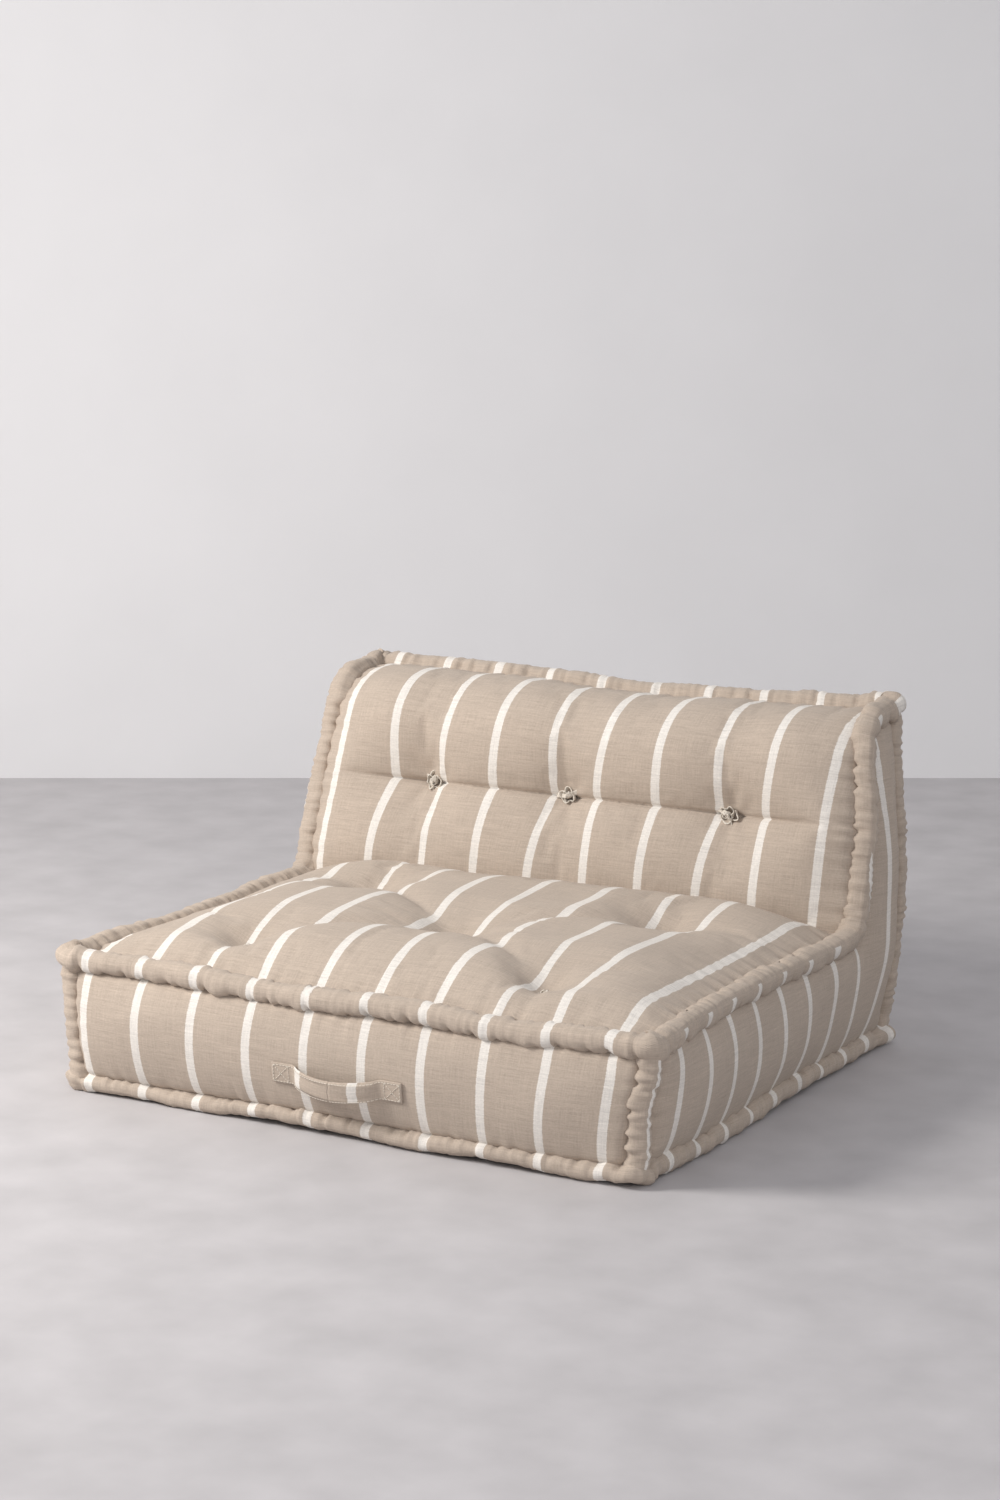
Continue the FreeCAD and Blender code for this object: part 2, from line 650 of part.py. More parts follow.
def notch(label, axis_point, across, tilt):
    """Square bar, edge first, that cuts a notch to straddle the roll through a point."""
    bar = add("Part::Box", label, Length="4 * Dimensions.roll_diameter", Width="2 * Dimensions.roll_diameter",
              Height="2 * Dimensions.roll_diameter")
    turned = Rotation(Vector(1, 0, 0), across) * Rotation(Vector(1, 0, 0), tilt)
    opening = turned.multVec(Vector(0, 1, 1)).normalize()
    edge = axis_point - opening * (spot("notch_gap") * math.sqrt(2))
    bar.Placement = Placement(edge - across * (2 * size("roll_diameter")), turned)
    return bar


def make_corner_rolls():
    """Upright rolls at the corners, notched at both ends to straddle the rolls that they meet."""
    for end, facing, head in (("front", -1, "Layout.seat_seam_z"), ("back", 1, "Layout.back_corner_z")):
        for name, side in SIDES.items():
            label = f"{end}_{name}_corner_roll"
            foot = Vector(side * spot("corner_x"), facing * spot("corner_y"), spot("base_axis_z"))
            across = Vector(facing, -side, 0).normalize()
            roll = add("Part::Cylinder", label + "_roll", Radius="Layout.roll_radius",
                       Height=f"{head} - Layout.base_axis_z")
            roll.Placement = Placement(foot, Rotation())
            top = Vector(foot.x, foot.y, worth(head))
            tools = [notch(label + "_foot", foot, across, 225), notch(label + "_head", top, across, 45)]
            keep(label, cut(label, roll, tools))


def rosette(label, placement):
    """Knotted cloth rosette: a pleated disc with the knot on it, flat behind."""
    corners = []
    for number in range(2 * PLEATS):
        reach = "Dimensions.rosette_valley / 2" if number % 2 else "Dimensions.rosette_diameter / 2"
        turn = number * 180 / PLEATS
        corners.append((f"{reach} * cos({turn})", f"{reach} * sin({turn})"))
    body = pad_body(label, "XY_Plane", corners, "Dimensions.rosette_height")
    knot = body.newObject("PartDesign::AdditivePrism", label + "_knot")
    knot.Polygon = TWINE_SIDES
    knot.setExpression("Circumradius", "Dimensions.knot_diameter / 2")
    knot.setExpression("Height", "Dimensions.knot_height")
    knot.AttachmentSupport = (origin_plane(body, "XY_Plane"), [""])
    knot.MapMode = "FlatFace"
    knot.setExpression("AttachmentOffset.Base.z", "Dimensions.rosette_height")
    body.Tip = knot
    body.Placement = placement
    return body


def make_tufts():
    """Rosettes in the pits, twines through the body and washers at their far ends."""
    seat = [rosette(f"seat_rosette_{number}", Placement(Vector(x, y, spot("seat_pit_z")), Rotation()))
            for number, (x, y) in enumerate(seat_tufts(), start=1)]
    keep("seat_rosettes", group("seat_rosettes", seat))
    facing = Rotation(UP, Vector(0, -1, 0))
    backrest = [rosette(f"backrest_rosette_{number}", Placement(Vector(x, spot("backrest_pit_y"), z), facing))
                for number, (x, z) in enumerate(backrest_tufts(), start=1)]
    keep("backrest_rosettes", group("backrest_rosettes", backrest))
    twine, washer = "Dimensions.twine_diameter", "Dimensions.washer_diameter"
    twines = seat_bars("seat_twine", TWINE_SIDES, twine, "Layout.washer_top_z", "Layout.seat_pit_z")
    keep("seat_twines", group("seat_twines", twines))
    washers = seat_bars("base_washer", WASHER_SIDES, washer, "Dimensions.base_thickness", "Layout.washer_top_z")
    keep("base_washers", group("base_washers", washers))
    twines = backrest_bars("backrest_twine", TWINE_SIDES, twine, "Layout.backrest_pit_y", "Layout.washer_front_y")
    keep("backrest_twines", group("backrest_twines", twines))
    washers = backrest_bars("back_washer", WASHER_SIDES, washer, "Layout.washer_front_y", "Layout.core_y")
    keep("back_washers", group("back_washers", washers))


def strap_place():
    """Frame of the handle on the front panel: its own -Y points straight off the panel."""
    foot, head = spot("panel_foot_z"), spot("core_top")
    half, crown = (head - foot) / 2, size("front_crown")
    radius = (half * half + crown * crown) / (2 * crown)
    below = (head + foot) / 2 - size("strap_height")
    y = radius - math.sqrt(radius * radius - below * below) - spot("axis_y") - crown
    tilt = math.degrees(math.asin(below / radius))
    return Placement(Vector(0, y, size("strap_height")), Rotation(Vector(1, 0, 0), tilt))


def make_handle():
    """Two sewn strap ends that rise from the panel, and the bowed grip between them."""
    place = strap_place()
    near = "-(Dimensions.strap_standoff - Dimensions.strap_thickness / 2)"
    far = "-(Dimensions.strap_standoff + Dimensions.strap_thickness / 2)"
    seat = "-Dimensions.clearance"
    face = "-(Dimensions.clearance + Dimensions.strap_thickness)"
    width, lower = "Dimensions.strap_width", "-Dimensions.strap_width / 2"
    corners = [("-Layout.grip_half", far), ("Layout.grip_half", far), ("Layout.grip_half", near),
               ("-Layout.grip_half", near)]
    arcs = {0: ("Layout.grip_radius", 1), 2: ("Layout.grip_radius", -1)}
    grip = pad_body("handle_grip", "XY_Plane", corners, width, arcs=arcs, start=lower)
    grip.Placement = place
    keep("handle_grip", grip)
    for name, sign in {"left": "-", "right": ""}.items():
        start, sewn, stop = (f"{sign}Layout.end_{mark}" for mark in ("start", "sewn", "stop"))
        corners = [(start, near), (start, far), (sewn, face), (stop, face), (stop, seat), (sewn, seat)]
        end = pad_body(f"handle_{name}_end", "XY_Plane", corners, width, start=lower)
        end.Placement = place
        keep(f"handle_{name}_end", end)


def check_document():
    """Stop if any object failed or any sub-part has no sound shape."""
    doc.recompute()
    failed = [made.Label for made in doc.Objects if {"Invalid", "Error"} & set(made.State)]
    unsound = [label for label, made in nodes.items() if made.Shape.isNull() or not made.Shape.isValid()]
    empty = [label for label, made in nodes.items() if not made.Shape.Solids]
    if failed or unsound or empty:
        raise RuntimeError(f"failed {failed}, unsound {unsound}, empty {empty}")


def write_parts():
    os.makedirs("parts", exist_ok=True)
    for label, made in nodes.items():
        made.Shape.exportStep(f"parts/{label}.step")


make_foam()
make_wadding()
make_base_cover()
make_end_panel("front_cover", -1, spot("core_top"), size("front_crown"), size("front_end_crown"))
make_end_panel("back_cover", 1, spot("foam_rear_z"), size("back_crown"), size("back_end_crown"))
make_seat_cover()
make_backrest_cover()
make_side_covers()
make_edge_rolls()
make_base_rolls()
make_corner_rolls()
make_tufts()
make_handle()
check_document()
write_parts()
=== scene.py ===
"""Floor sofa module in striped linen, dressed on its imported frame.

Cloth panels swell between stitched rolls, tufts pull rosettes into the seat and the backrest, and a sewn
strap hangs on the front. Lengths are in metres. Every cloth mesh carries a UV map called cloth, which is
the weaver's own plane: u runs across the stripes and v along them.
"""

import math

import bpy
import numpy as np
from mathutils import Matrix, Vector


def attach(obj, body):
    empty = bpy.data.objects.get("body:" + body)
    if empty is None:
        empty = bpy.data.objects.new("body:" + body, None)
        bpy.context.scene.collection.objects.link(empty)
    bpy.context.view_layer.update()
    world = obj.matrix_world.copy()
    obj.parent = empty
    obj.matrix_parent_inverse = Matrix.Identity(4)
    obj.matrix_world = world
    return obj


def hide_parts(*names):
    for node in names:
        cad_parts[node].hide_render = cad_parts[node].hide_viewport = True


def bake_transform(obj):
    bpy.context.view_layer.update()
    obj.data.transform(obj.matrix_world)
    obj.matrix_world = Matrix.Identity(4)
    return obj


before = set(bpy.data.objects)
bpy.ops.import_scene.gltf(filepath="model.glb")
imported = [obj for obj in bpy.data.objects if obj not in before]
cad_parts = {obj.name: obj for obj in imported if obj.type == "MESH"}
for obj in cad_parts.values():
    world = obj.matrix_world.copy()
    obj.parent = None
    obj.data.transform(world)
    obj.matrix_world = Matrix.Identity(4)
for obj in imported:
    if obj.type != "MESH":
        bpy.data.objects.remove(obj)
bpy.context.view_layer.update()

# The frame's own places
ROLL = 0.019
AXIS_X, AXIS_Y = 0.471, 0.421
CORNER_X, CORNER_Y = 0.4593, 0.4093
SEAT_Z, BASE_Z, TOP_Z = 0.213, 0.0152, 0.551
JUNCTION_Y, PEAK_Y, PEAK_Z = 0.239, 0.309, 0.539
CORNER_BEND, SEAT_BEND, TOP_BEND = 0.008, 0.045, 0.060
STRAIGHT_X = 0.431
SEAT_TUFTS = [(0.0, -0.1325), (-0.26, -0.31), (0.26, -0.31), (-0.26, 0.045), (0.26, 0.045)]
BACKREST_TUFTS = [-0.277, -0.020, 0.268]
TUFT_Z = 0.383
WASHER_Z, WASHER_Y, BACK_WASHERS = 0.024, 0.3977, [-0.28, 0.0, 0.28]
HANDLE_Z = 0.091
PANEL_X, TOP_PANEL_X = 0.464, 0.466  # half widths of the upright and of the tufted panels
SEAT_FRONT, SEAT_BACK = -0.418, 0.262
CORNER_KNOT = 0.042  # from a roll's end to the knot at its corner
FLOOR_GAP, FLOOR_LIFT = 0.0008, 0.0005  # under the cloth, and of the base rolls

# The cloth
STRIPE_PITCH = 0.0995
STRIPE_WIDTH = 0.0145
STRIPE_SHIFT = 0.017  # of the stripes across the sofa
TOP_SHIFT = -0.016  # of the same stripes at the top of the backrest
SIDE_SHIFT = -0.032  # of the stripes along a side
SIDE_CROWD = 1.183  # how much closer the stripes of a side lie
BEIGE = (0.475, 0.392, 0.320)
CREAM = (0.765, 0.72, 0.665)
STITCH_PITCH, THREAD_PITCH = 0.035, 0.0021
EDGE_CLOTH = 5 * STRIPE_PITCH - 0.008  # where the cloth of a roll along its stripes begins
CORNER_CLOTH = 4.5 * STRIPE_PITCH - 0.0345
PADDED_CLOTH = dict(quality=6, mass=0.25, tension_stiffness=20, compression_stiffness=20, shear_stiffness=8,
                    bending_stiffness=0.5, use_pressure=True, uniform_pressure_force=4.0, shrink_min=-0.007)
SWELL_FRAMES = 20

SIDES = {"left": -1, "right": 1}
rng = np.random.default_rng(7)


# Shape helpers

def smooth(low, high, values):
    """0 below low, 1 above high, and smooth between."""
    share = np.clip((values - low) / (high - low), 0, 1)
    return share * share * (3 - 2 * share)


def quarter(share):
    """Rise like a quarter circle from 0 to 1."""
    return np.sqrt(1 - (1 - np.clip(share, 0, 1)) ** 2)


def hill(share):
    """Rise like a quarter of a sine wave from 0 to 1."""
    return np.sin(np.pi / 2 * np.clip(share, 0, 1)) ** 0.9


def bell(distance, width):
    return np.exp(-(distance / width) ** 2)


def joined(*values):
    """Arrays of coordinates as one array of points."""
    return np.stack(values, -1)


def unit(vectors):
    """The same directions at length 1."""
    return vectors / np.linalg.norm(vectors, axis=-1, keepdims=True)


def swirl(places, length, seed, waves=10):
    """Smooth noise between about -1 and 1, with humps about as long as length."""
    source = np.random.default_rng(seed)
    directions = unit(source.normal(size=(waves, places.shape[-1])))
    pitch = 2 * np.pi / (length * source.uniform(1.3, 2.8, waves))
    phases = source.uniform(0, 2 * np.pi, waves)
    return np.sin(places @ (directions * pitch[:, None]).T + phases).sum(-1) / math.sqrt(waves)


def groove(places, start, end, width):
    """1 along the middle of a line from start to end, fading to its sides and ends."""
    start, end = np.array(start), np.array(end)
    length = np.linalg.norm(end - start)
    ahead = (end - start) / length
    along = (places - start) @ ahead
    beside = np.abs((places - start) @ np.array([-ahead[1], ahead[0]]))
    ends = smooth(-0.1 * length, 0.15 * length, along) * (1 - smooth(0.5 * length, 1.05 * length, along))
    return bell(beside, width) * ends


def stitch_places(length, seed):
    """Uneven places of the stitches along a seam."""
    source = np.random.default_rng(seed)
    count = max(2, round(length / STITCH_PITCH))
    return (np.arange(count) + 0.5 + source.uniform(-0.2, 0.2, count)) * length / count


def puckers(along, distance, length, seed):
    """How far stitches draw a panel in near its seam, and the small gathers beside them."""
    drawn = sum(bell(along - place, 0.008) for place in stitch_places(length, seed))
    gathers = swirl(np.asarray(along)[..., None], 0.011, seed + 50)
    return 0.0034 * drawn * np.exp(-distance / 0.012) + 0.0009 * gathers * np.exp(-distance / 0.020)


def lengths_of(line):
    """Length along a line up to each of its points."""
    return np.concatenate([[0], np.cumsum(np.linalg.norm(np.diff(line, axis=0), axis=1))])


def places_along(line, lengths, wanted):
    """Coordinates of the places at wanted lengths along a line."""
    return [np.interp(wanted, lengths, values) for values in line.T]


# Mesh helpers

def grid_faces(rows, columns):
    index = np.arange(rows * columns).reshape(rows, columns)
    return joined(index[:-1, :-1], index[:-1, 1:], index[1:, 1:], index[1:, :-1]).reshape(-1, 4)


def relax(points):
    """Move points as the loose stuffing has settled."""
    x, y, z = points[..., 0], points[..., 1], points[..., 2]
    moved = points.copy()
    # The sides spread, most beside the backrest's foot
    aside = np.sign(x) * (x / AXIS_X) ** 2
    level = smooth(0.03, 0.20, z) * (1 - smooth(0.38, 0.56, z))
    moved[..., 0] += 0.017 * bell(y - 0.20, 0.25) * level * aside
    high = smooth(0.10, 0.30, z) * smooth(0.10, 0.30, y) * (1 - smooth(0.53, 0.60, z))
    moved[..., 0] += 0.009 * high * aside
    # The front right foot is tucked in, and both front corners spread
    near = np.exp(-np.sum((points - [AXIS_X, -AXIS_Y, BASE_Z]) ** 2, -1) / 0.13 ** 2)
    moved += near[..., None] * [-0.012, 0.010, 0.003]
    near = np.exp(-((x + AXIS_X) ** 2 + (y + AXIS_Y) ** 2) / 0.14 ** 2)
    moved[..., 0] -= near * (0.024 + 0.012 * smooth(0.0, 0.2, z))
    moved[..., 1] -= 0.006 * near
    near = np.exp(-((x - AXIS_X) / 0.11) ** 2 - ((y + AXIS_Y) / 0.26) ** 2)
    moved[..., 0] += 0.016 * near * smooth(0.02, 0.20, z)
    # The backrest's foot lies askew
    waist = bell(z - 0.23, 0.13) * smooth(0.08, 0.2, y) * (1 - smooth(0.34, 0.41, y))
    moved[..., 1] += (0.020 * x / AXIS_X - 0.008) * waist
    # The front and the right foot arch over the floor, and the front of the seat sags
    front = (1 - smooth(0.03, 0.10, z)) * (1 - smooth(-0.40, -0.36, y))
    moved[..., 2] += 0.004 * bell(x, 0.25) * front
    sag = 0.008 + 0.004 * bell(x, 0.28)
    moved[..., 2] -= sag * (1 - smooth(-0.42, -0.30, y)) * smooth(0.12, 0.19, z)
    arch = (1 - smooth(0.03, 0.11, z)) * smooth(0.38, 0.45, x) * bell(y - 0.10, 0.20)
    moved[..., 2] += 0.008 * arch
    # The rear right edge bulges, and the top dips in its middle
    rear = smooth(0.25, 0.42, y) * smooth(0.30, 0.47, x) * bell(z - 0.20, 0.17)
    moved[..., 0] += 0.006 * rear
    moved[..., 1] += 0.013 * rear
    top = smooth(0.46, 0.54, z)
    moved[..., 2] += top * (0.006 * smooth(0.40, 0.47, x) - 0.012 * bell(x - 0.08, 0.26))
    moved[..., 2] = np.maximum(moved[..., 2], FLOOR_GAP)
    return moved


def cloth_object(name, grids, materials):
    """One mesh object from grids of points, each with its cloth coordinates and material number."""
    places, faces, coordinates, numbers = [], [], [], []
    first = 0
    for points, cloth, number in grids:
        rows, columns = points.shape[:2]
        quads = grid_faces(rows, columns)
        faces.append(quads + first)
        places.append(relax(points).reshape(-1, 3))
        coordinates.append(cloth.reshape(-1, 2)[quads].reshape(-1, 2))
        numbers.append(np.full(len(quads), number))
        first += rows * columns
    mesh = bpy.data.meshes.new(name)
    mesh.from_pydata(np.concatenate(places).tolist(), [], np.concatenate(faces).tolist())
    layer = mesh.uv_layers.new(name="cloth")
    layer.data.foreach_set("uv", np.concatenate(coordinates).astype(np.float32).ravel())
    mesh.polygons.foreach_set("material_index", np.concatenate(numbers).astype(np.int32))
    mesh.polygons.foreach_set("use_smooth", np.ones(len(mesh.polygons), bool))
    for material in materials:
        mesh.materials.append(material)
    mesh.update()
    made = bpy.data.objects.new(name, mesh)
    bpy.context.scene.collection.objects.link(made)
    return made


def vertex_places(mesh):
    places = np.empty(len(mesh.vertices) * 3, np.float32)
    mesh.vertices.foreach_get("co", places)
    return places.reshape(-1, 3)


def puff(piece, held, cap):
    """Let a panel's cloth swell between its seams and tufts, no further than cap.

    held is 1 where stitches hold the cloth and 0 where it is free.
    """
    group = piece.vertex_groups.new(name="held")
    for number, weight in enumerate(held.ravel()):
        group.add([number], float(weight), "REPLACE")
    cloth = piece.modifiers.new("cloth", "CLOTH")
    for name, value in PADDED_CLOTH.items():
        setattr(cloth.settings, name, value)
    cloth.settings.vertex_group_mass = group.name
    cloth.settings.effector_weights.gravity = 0.0
    cloth.collision_settings.use_collision = False
    cloth.point_cache.frame_start = 1
    cloth.point_cache.frame_end = SWELL_FRAMES
    scene = bpy.context.scene
    for number in range(1, SWELL_FRAMES + 1):
        scene.frame_set(number)
    shaped = piece.evaluated_get(bpy.context.evaluated_depsgraph_get()).to_mesh()
    before = vertex_places(piece.data)
    moved = vertex_places(shaped) - before
    reach = np.linalg.norm(moved, axis=1, keepdims=True)
    moved *= np.minimum(1, cap / np.maximum(reach, 1e-9))
    piece.modifiers.remove(cloth)
    scene.frame_set(1)
    piece.data.vertices.foreach_set("co", (before + moved).ravel())
    piece.data.update()


def settle(piece, *nodes, slot="striped_cloth", fill=None):
    """Put a finished piece on the sofa body in place of its CAD nodes."""
    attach(piece, "sofa")
    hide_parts(*nodes)


def tube(path, radius, sides=8):
    """Grid of points round a line, closed at both ends."""
    ahead = unit(np.gradient(path, axis=0))
    helper = np.where(np.abs(ahead[:, 2:3]) < 0.9, [[0.0, 0.0, 1.0]], [[1.0, 0.0, 0.0]])
    across = unit(np.cross(ahead, helper))
    over = np.cross(across, ahead)
    turn = np.linspace(0, 2 * np.pi, sides + 1)
    ring = across[:, None] * np.cos(turn)[:, None] + over[:, None] * np.sin(turn)[:, None]
    points = path[:, None] + ring * radius
    return np.concatenate([path[None, :1].repeat(sides + 1, 1), points, path[None, -1:].repeat(sides + 1, 1)])


# Materials

class Nodes:
    """Short way to add shader nodes to a material."""

    def __init__(self, material):
        material.use_nodes = True
        self.tree = material.node_tree
        self.shader = self.tree.nodes["Principled BSDF"]

    def fill(self, node, inputs):
        """Link or set inputs of a node, given by name or number."""
        for key, value in inputs.items():
            if isinstance(value, bpy.types.NodeSocket):
                self.tree.links.new(value, node.inputs[key])
            else:
                node.inputs[key].default_value = value

    def add(self, kind, inputs=(), **settings):
        node = self.tree.nodes.new(kind)
        for name, value in settings.items():
            setattr(node, name, value)
        self.fill(node, inputs if isinstance(inputs, dict) else dict(enumerate(inputs)))
        return node

    def math(self, operation, *values):
        return self.add("ShaderNodeMath", values, operation=operation).outputs[0]

    def scaled(self, vector, scale):
        return self.add("ShaderNodeVectorMath", (vector, scale), operation="MULTIPLY").outputs[0]

    def noise(self, vector, scale, detail=2.0):
        inputs = {"Vector": vector, "Scale": scale, "Detail": detail}
        return self.add("ShaderNodeTexNoise", inputs, noise_dimensions="3D").outputs["Fac"]

    def remap(self, value, low, high, to_low, to_high):
        return self.add("ShaderNodeMapRange", (value, low, high, to_low, to_high)).outputs[0]

    def mix(self, factor, first, second, blend_type="MIX"):
        inputs = {"Factor": factor, "A": first, "B": second}
        return self.add("ShaderNodeMix", inputs, data_type="RGBA", blend_type=blend_type).outputs["Result"]

    def shade(self, color, factor):
        """Multiply a colour by a grey factor."""
        grey = self.add("ShaderNodeCombineColor", (factor, factor, factor)).outputs[0]
        return self.mix(1.0, color, grey, "MULTIPLY")

    def bump(self, height, strength, distance):
        inputs = {"Strength": strength, "Distance": distance, "Height": height}
        return self.add("ShaderNodeBump", inputs).outputs[0]


def woven_cloth(name, base, stripe=None):
    """Linen weave with slubs, and stripes across u if a stripe colour is given."""
    material = bpy.data.materials.new(name)
    nodes = Nodes(material)
    plane = nodes.add("ShaderNodeUVMap", uv_map="cloth").outputs[0]
    split = nodes.add("ShaderNodeSeparateXYZ", (plane,))
    u, v = split.outputs[0], split.outputs[1]
    color = (*base, 1.0)
    if stripe:
        fray = nodes.remap(nodes.noise(plane, 420.0), 0.3, 0.7, -0.0005, 0.0005)
        turns = nodes.math("DIVIDE", nodes.math("ADD", u, fray), STRIPE_PITCH)
        offset = nodes.math("ABSOLUTE", nodes.math("SUBTRACT", nodes.math("FRACT", turns), 0.5))
        edge = STRIPE_WIDTH / 2 / STRIPE_PITCH
        mask = nodes.remap(offset, edge - 0.004, edge + 0.004, 1.0, 0.0)
        color = nodes.mix(mask, color, (*stripe, 1.0))
    warp, weft, slub, grain = (
        nodes.noise(nodes.scaled(plane, (across, along, 1.0)), 1.0, detail) for across, along, detail in
        ((900.0, 26.0, 1.0), (26.0, 900.0, 1.0), (14.0, 260.0, 3.0), (260.0, 420.0, 2.0)))
    cloud = nodes.noise(plane, 9.0, 3.0)
    threads = nodes.math("ADD", nodes.remap(warp, 0.25, 0.75, -0.07, 0.07),
                         nodes.remap(weft, 0.25, 0.75, -0.09, 0.09))
    uneven = nodes.math("ADD", nodes.remap(slub, 0.3, 0.75, -0.06, 0.05),
                        nodes.remap(cloud, 0.3, 0.7, -0.03, 0.03))
    uneven = nodes.math("ADD", uneven, nodes.remap(grain, 0.25, 0.75, -0.07, 0.07))
    factor = nodes.math("ADD", nodes.math("ADD", threads, uneven), 1.0)
    over = nodes.math("SINE", nodes.math("MULTIPLY", u, 2 * math.pi / THREAD_PITCH))
    under = nodes.math("SINE", nodes.math("MULTIPLY", v, 2 * math.pi / THREAD_PITCH))
    weave = nodes.math("ADD", nodes.math("MULTIPLY", over, under), nodes.math("MULTIPLY", threads, 6.0))
    nodes.fill(nodes.shader, {
        "Base Color": nodes.shade(color, factor), "Normal": nodes.bump(weave, 0.5, 0.0005), "Roughness": 0.92,
        "Specular IOR Level": 0.25, "Sheen Weight": 0.18, "Sheen Roughness": 0.5,
        "Sheen Tint": (1.0, 0.95, 0.88, 1.0)})
    return material


def grained(name, color, scale, spread, roughness, bump_depth):
    """Plain stuff with a grain that follows the object's own coordinates."""
    material = bpy.data.materials.new(name)
    nodes = Nodes(material)
    place = nodes.add("ShaderNodeTexCoord").outputs["Object"]
    grain = nodes.noise(place, scale, 4.0)
    factor = nodes.remap(grain, 0.25, 0.75, 1.0 - spread, 1.0 + spread)
    nodes.fill(nodes.shader, {"Base Color": nodes.shade((*color, 1.0), factor), "Roughness": roughness,
                              "Normal": nodes.bump(grain, 0.4, bump_depth)})
    return material


striped = woven_cloth("striped_linen", BEIGE, CREAM)
plain = woven_cloth("plain_linen", BEIGE)
pale = woven_cloth("pale_linen", (0.66, 0.60, 0.52))
thread = grained("sewing_thread", (0.72, 0.66, 0.57), 900.0, 0.12, 0.8, 0.0002)
twine = grained("waxed_twine", (0.70, 0.60, 0.46), 1500.0, 0.15, 0.6, 0.0003)


# Panels

def cover(name, node, grids, fill):
    """Put striped cloth on the sofa in place of a CAD node."""
    settle(cloth_object(name, grids, [striped]), node, fill=fill)


def span(low, high, step):
    return np.linspace(low, high, max(2, round(abs(high - low) / step) + 1))


def striped_at(points, shift=STRIPE_SHIFT):
    """Cloth coordinate across the stripes, which run straight over the settled sofa."""
    return relax(points)[..., 0] + shift


def side_striped_at(y):
    """Cloth coordinate across the stripes of a side."""
    return SIDE_CROWD * y + SIDE_SHIFT


def lip(distance, height):
    """Small round edge of a panel beside its roll."""
    return height * quarter(distance / 0.011)


def margin(x, z, top):
    """Distance of the front or back panel's places from its edge."""
    return np.minimum(np.minimum(z - BASE_Z - 0.006, top - 0.011 - z), 0.456 - np.abs(x))


def front_swell(x, z):
    """How far the front panel stands off its seams."""
    share = (z - BASE_Z - 0.007) / (SEAT_Z - BASE_Z - 0.018)
    crown = 0.0375 - 0.008 * x / AXIS_X
    ends = 0.25 + 0.75 * quarter((0.462 - np.abs(x)) / 0.15)
    rise = np.sin(np.pi * np.clip(share, 0, 1)) ** 0.66
    waves = 0.0016 * swirl(joined(x, z), 0.12, 3) * rise
    return (crown - 0.012) * ends * rise + waves + lip(margin(x, z, SEAT_Z), 0.012)


def dragged(x, z):
    """How far the cloth of the front is drawn aside at its lower right corner."""
    return 0.020 * smooth(0.10, 0.45, x) * (1 - smooth(0.02, 0.18, z))


def front_place(x, z):
    """Point of the front panel, with the stitches' puckers along its seams."""
    swell = front_swell(x, z)
    drawn = puckers(x + 0.5, SEAT_Z - 0.012 - z, 1.0, 11) + puckers(x + 0.5, z - BASE_Z - 0.007, 1.0, 12)
    sides = puckers(z, 0.455 - np.abs(x), 0.22, 13)
    return joined(x, -(AXIS_Y - 0.007 + swell - drawn - sides), z)


def make_front():
    x, z = np.meshgrid(span(-PANEL_X, PANEL_X, 0.005), span(BASE_Z, SEAT_Z, 0.005))
    points = front_place(x, z)
    cloth = joined(striped_at(points) + dragged(x, z), z)
    cover("front_panel", "front_cover", [(points, cloth, 0)], fill=0.8)


def make_back():
    x, z = np.meshgrid(span(PANEL_X, -PANEL_X, 0.007), span(BASE_Z, TOP_Z, 0.007))
    share = (z - BASE_Z - 0.012) / (TOP_Z - BASE_Z - 0.024)
    ends = 0.25 + 0.75 * quarter((0.462 - np.abs(x)) / 0.16)
    rise = quarter(share / 0.45) * quarter((1 - share) / 0.45)
    swell = 0.022 * ends * rise + 0.002 * swirl(joined(x, z), 0.14, 21) * rise
    swell = swell + lip(margin(x, z, TOP_Z), 0.010)
    drawn = puckers(x + 0.5, TOP_Z - 0.012 - z, 1.0, 22) + puckers(x + 0.5, z - BASE_Z - 0.012, 1.0, 23)
    drawn = drawn + puckers(z, 0.455 - np.abs(x), 0.55, 24)
    points = joined(x, AXIS_Y - 0.004 + swell - drawn, z)
    cloth = joined(striped_at(points, TOP_SHIFT), z)
    cover("back_panel", "back_cover", [(points, cloth, 0)], fill=0.8)


def make_base():
    x, y = np.meshgrid(span(-0.462, 0.462, 0.012), span(0.412, -0.412, 0.012))
    edge = np.minimum(0.462 - np.abs(x), 0.412 - np.abs(y))
    points = joined(x, y, 0.018 - 0.0165 * quarter(edge / 0.03))
    grid = (points, joined(x, y), 0)
    settle(cloth_object("base_panel", [grid], [plain]), "base_cover", slot="plain_cloth")


def drawn_to(u, x, y, tufts, pull, reach):
    """Cloth coordinate across the stripes, which tufts draw towards themselves."""
    for tuft_x, tuft_y in tufts:
        near = bell(np.hypot(x - tuft_x, y - tuft_y), reach)
        u = u + pull * (x - tuft_x) * near
    return u


def held_cloth(edge, x, y, tufts, near, far):
    """1 where the seams and tufts of a panel hold its cloth, and 0 where it is free."""
    held = 1 - smooth(0.012, 0.03, edge)
    for tuft_x, tuft_y in tufts:
        held = np.maximum(held, 1 - smooth(near, far, np.hypot(x - tuft_x, y - tuft_y)))
    return held


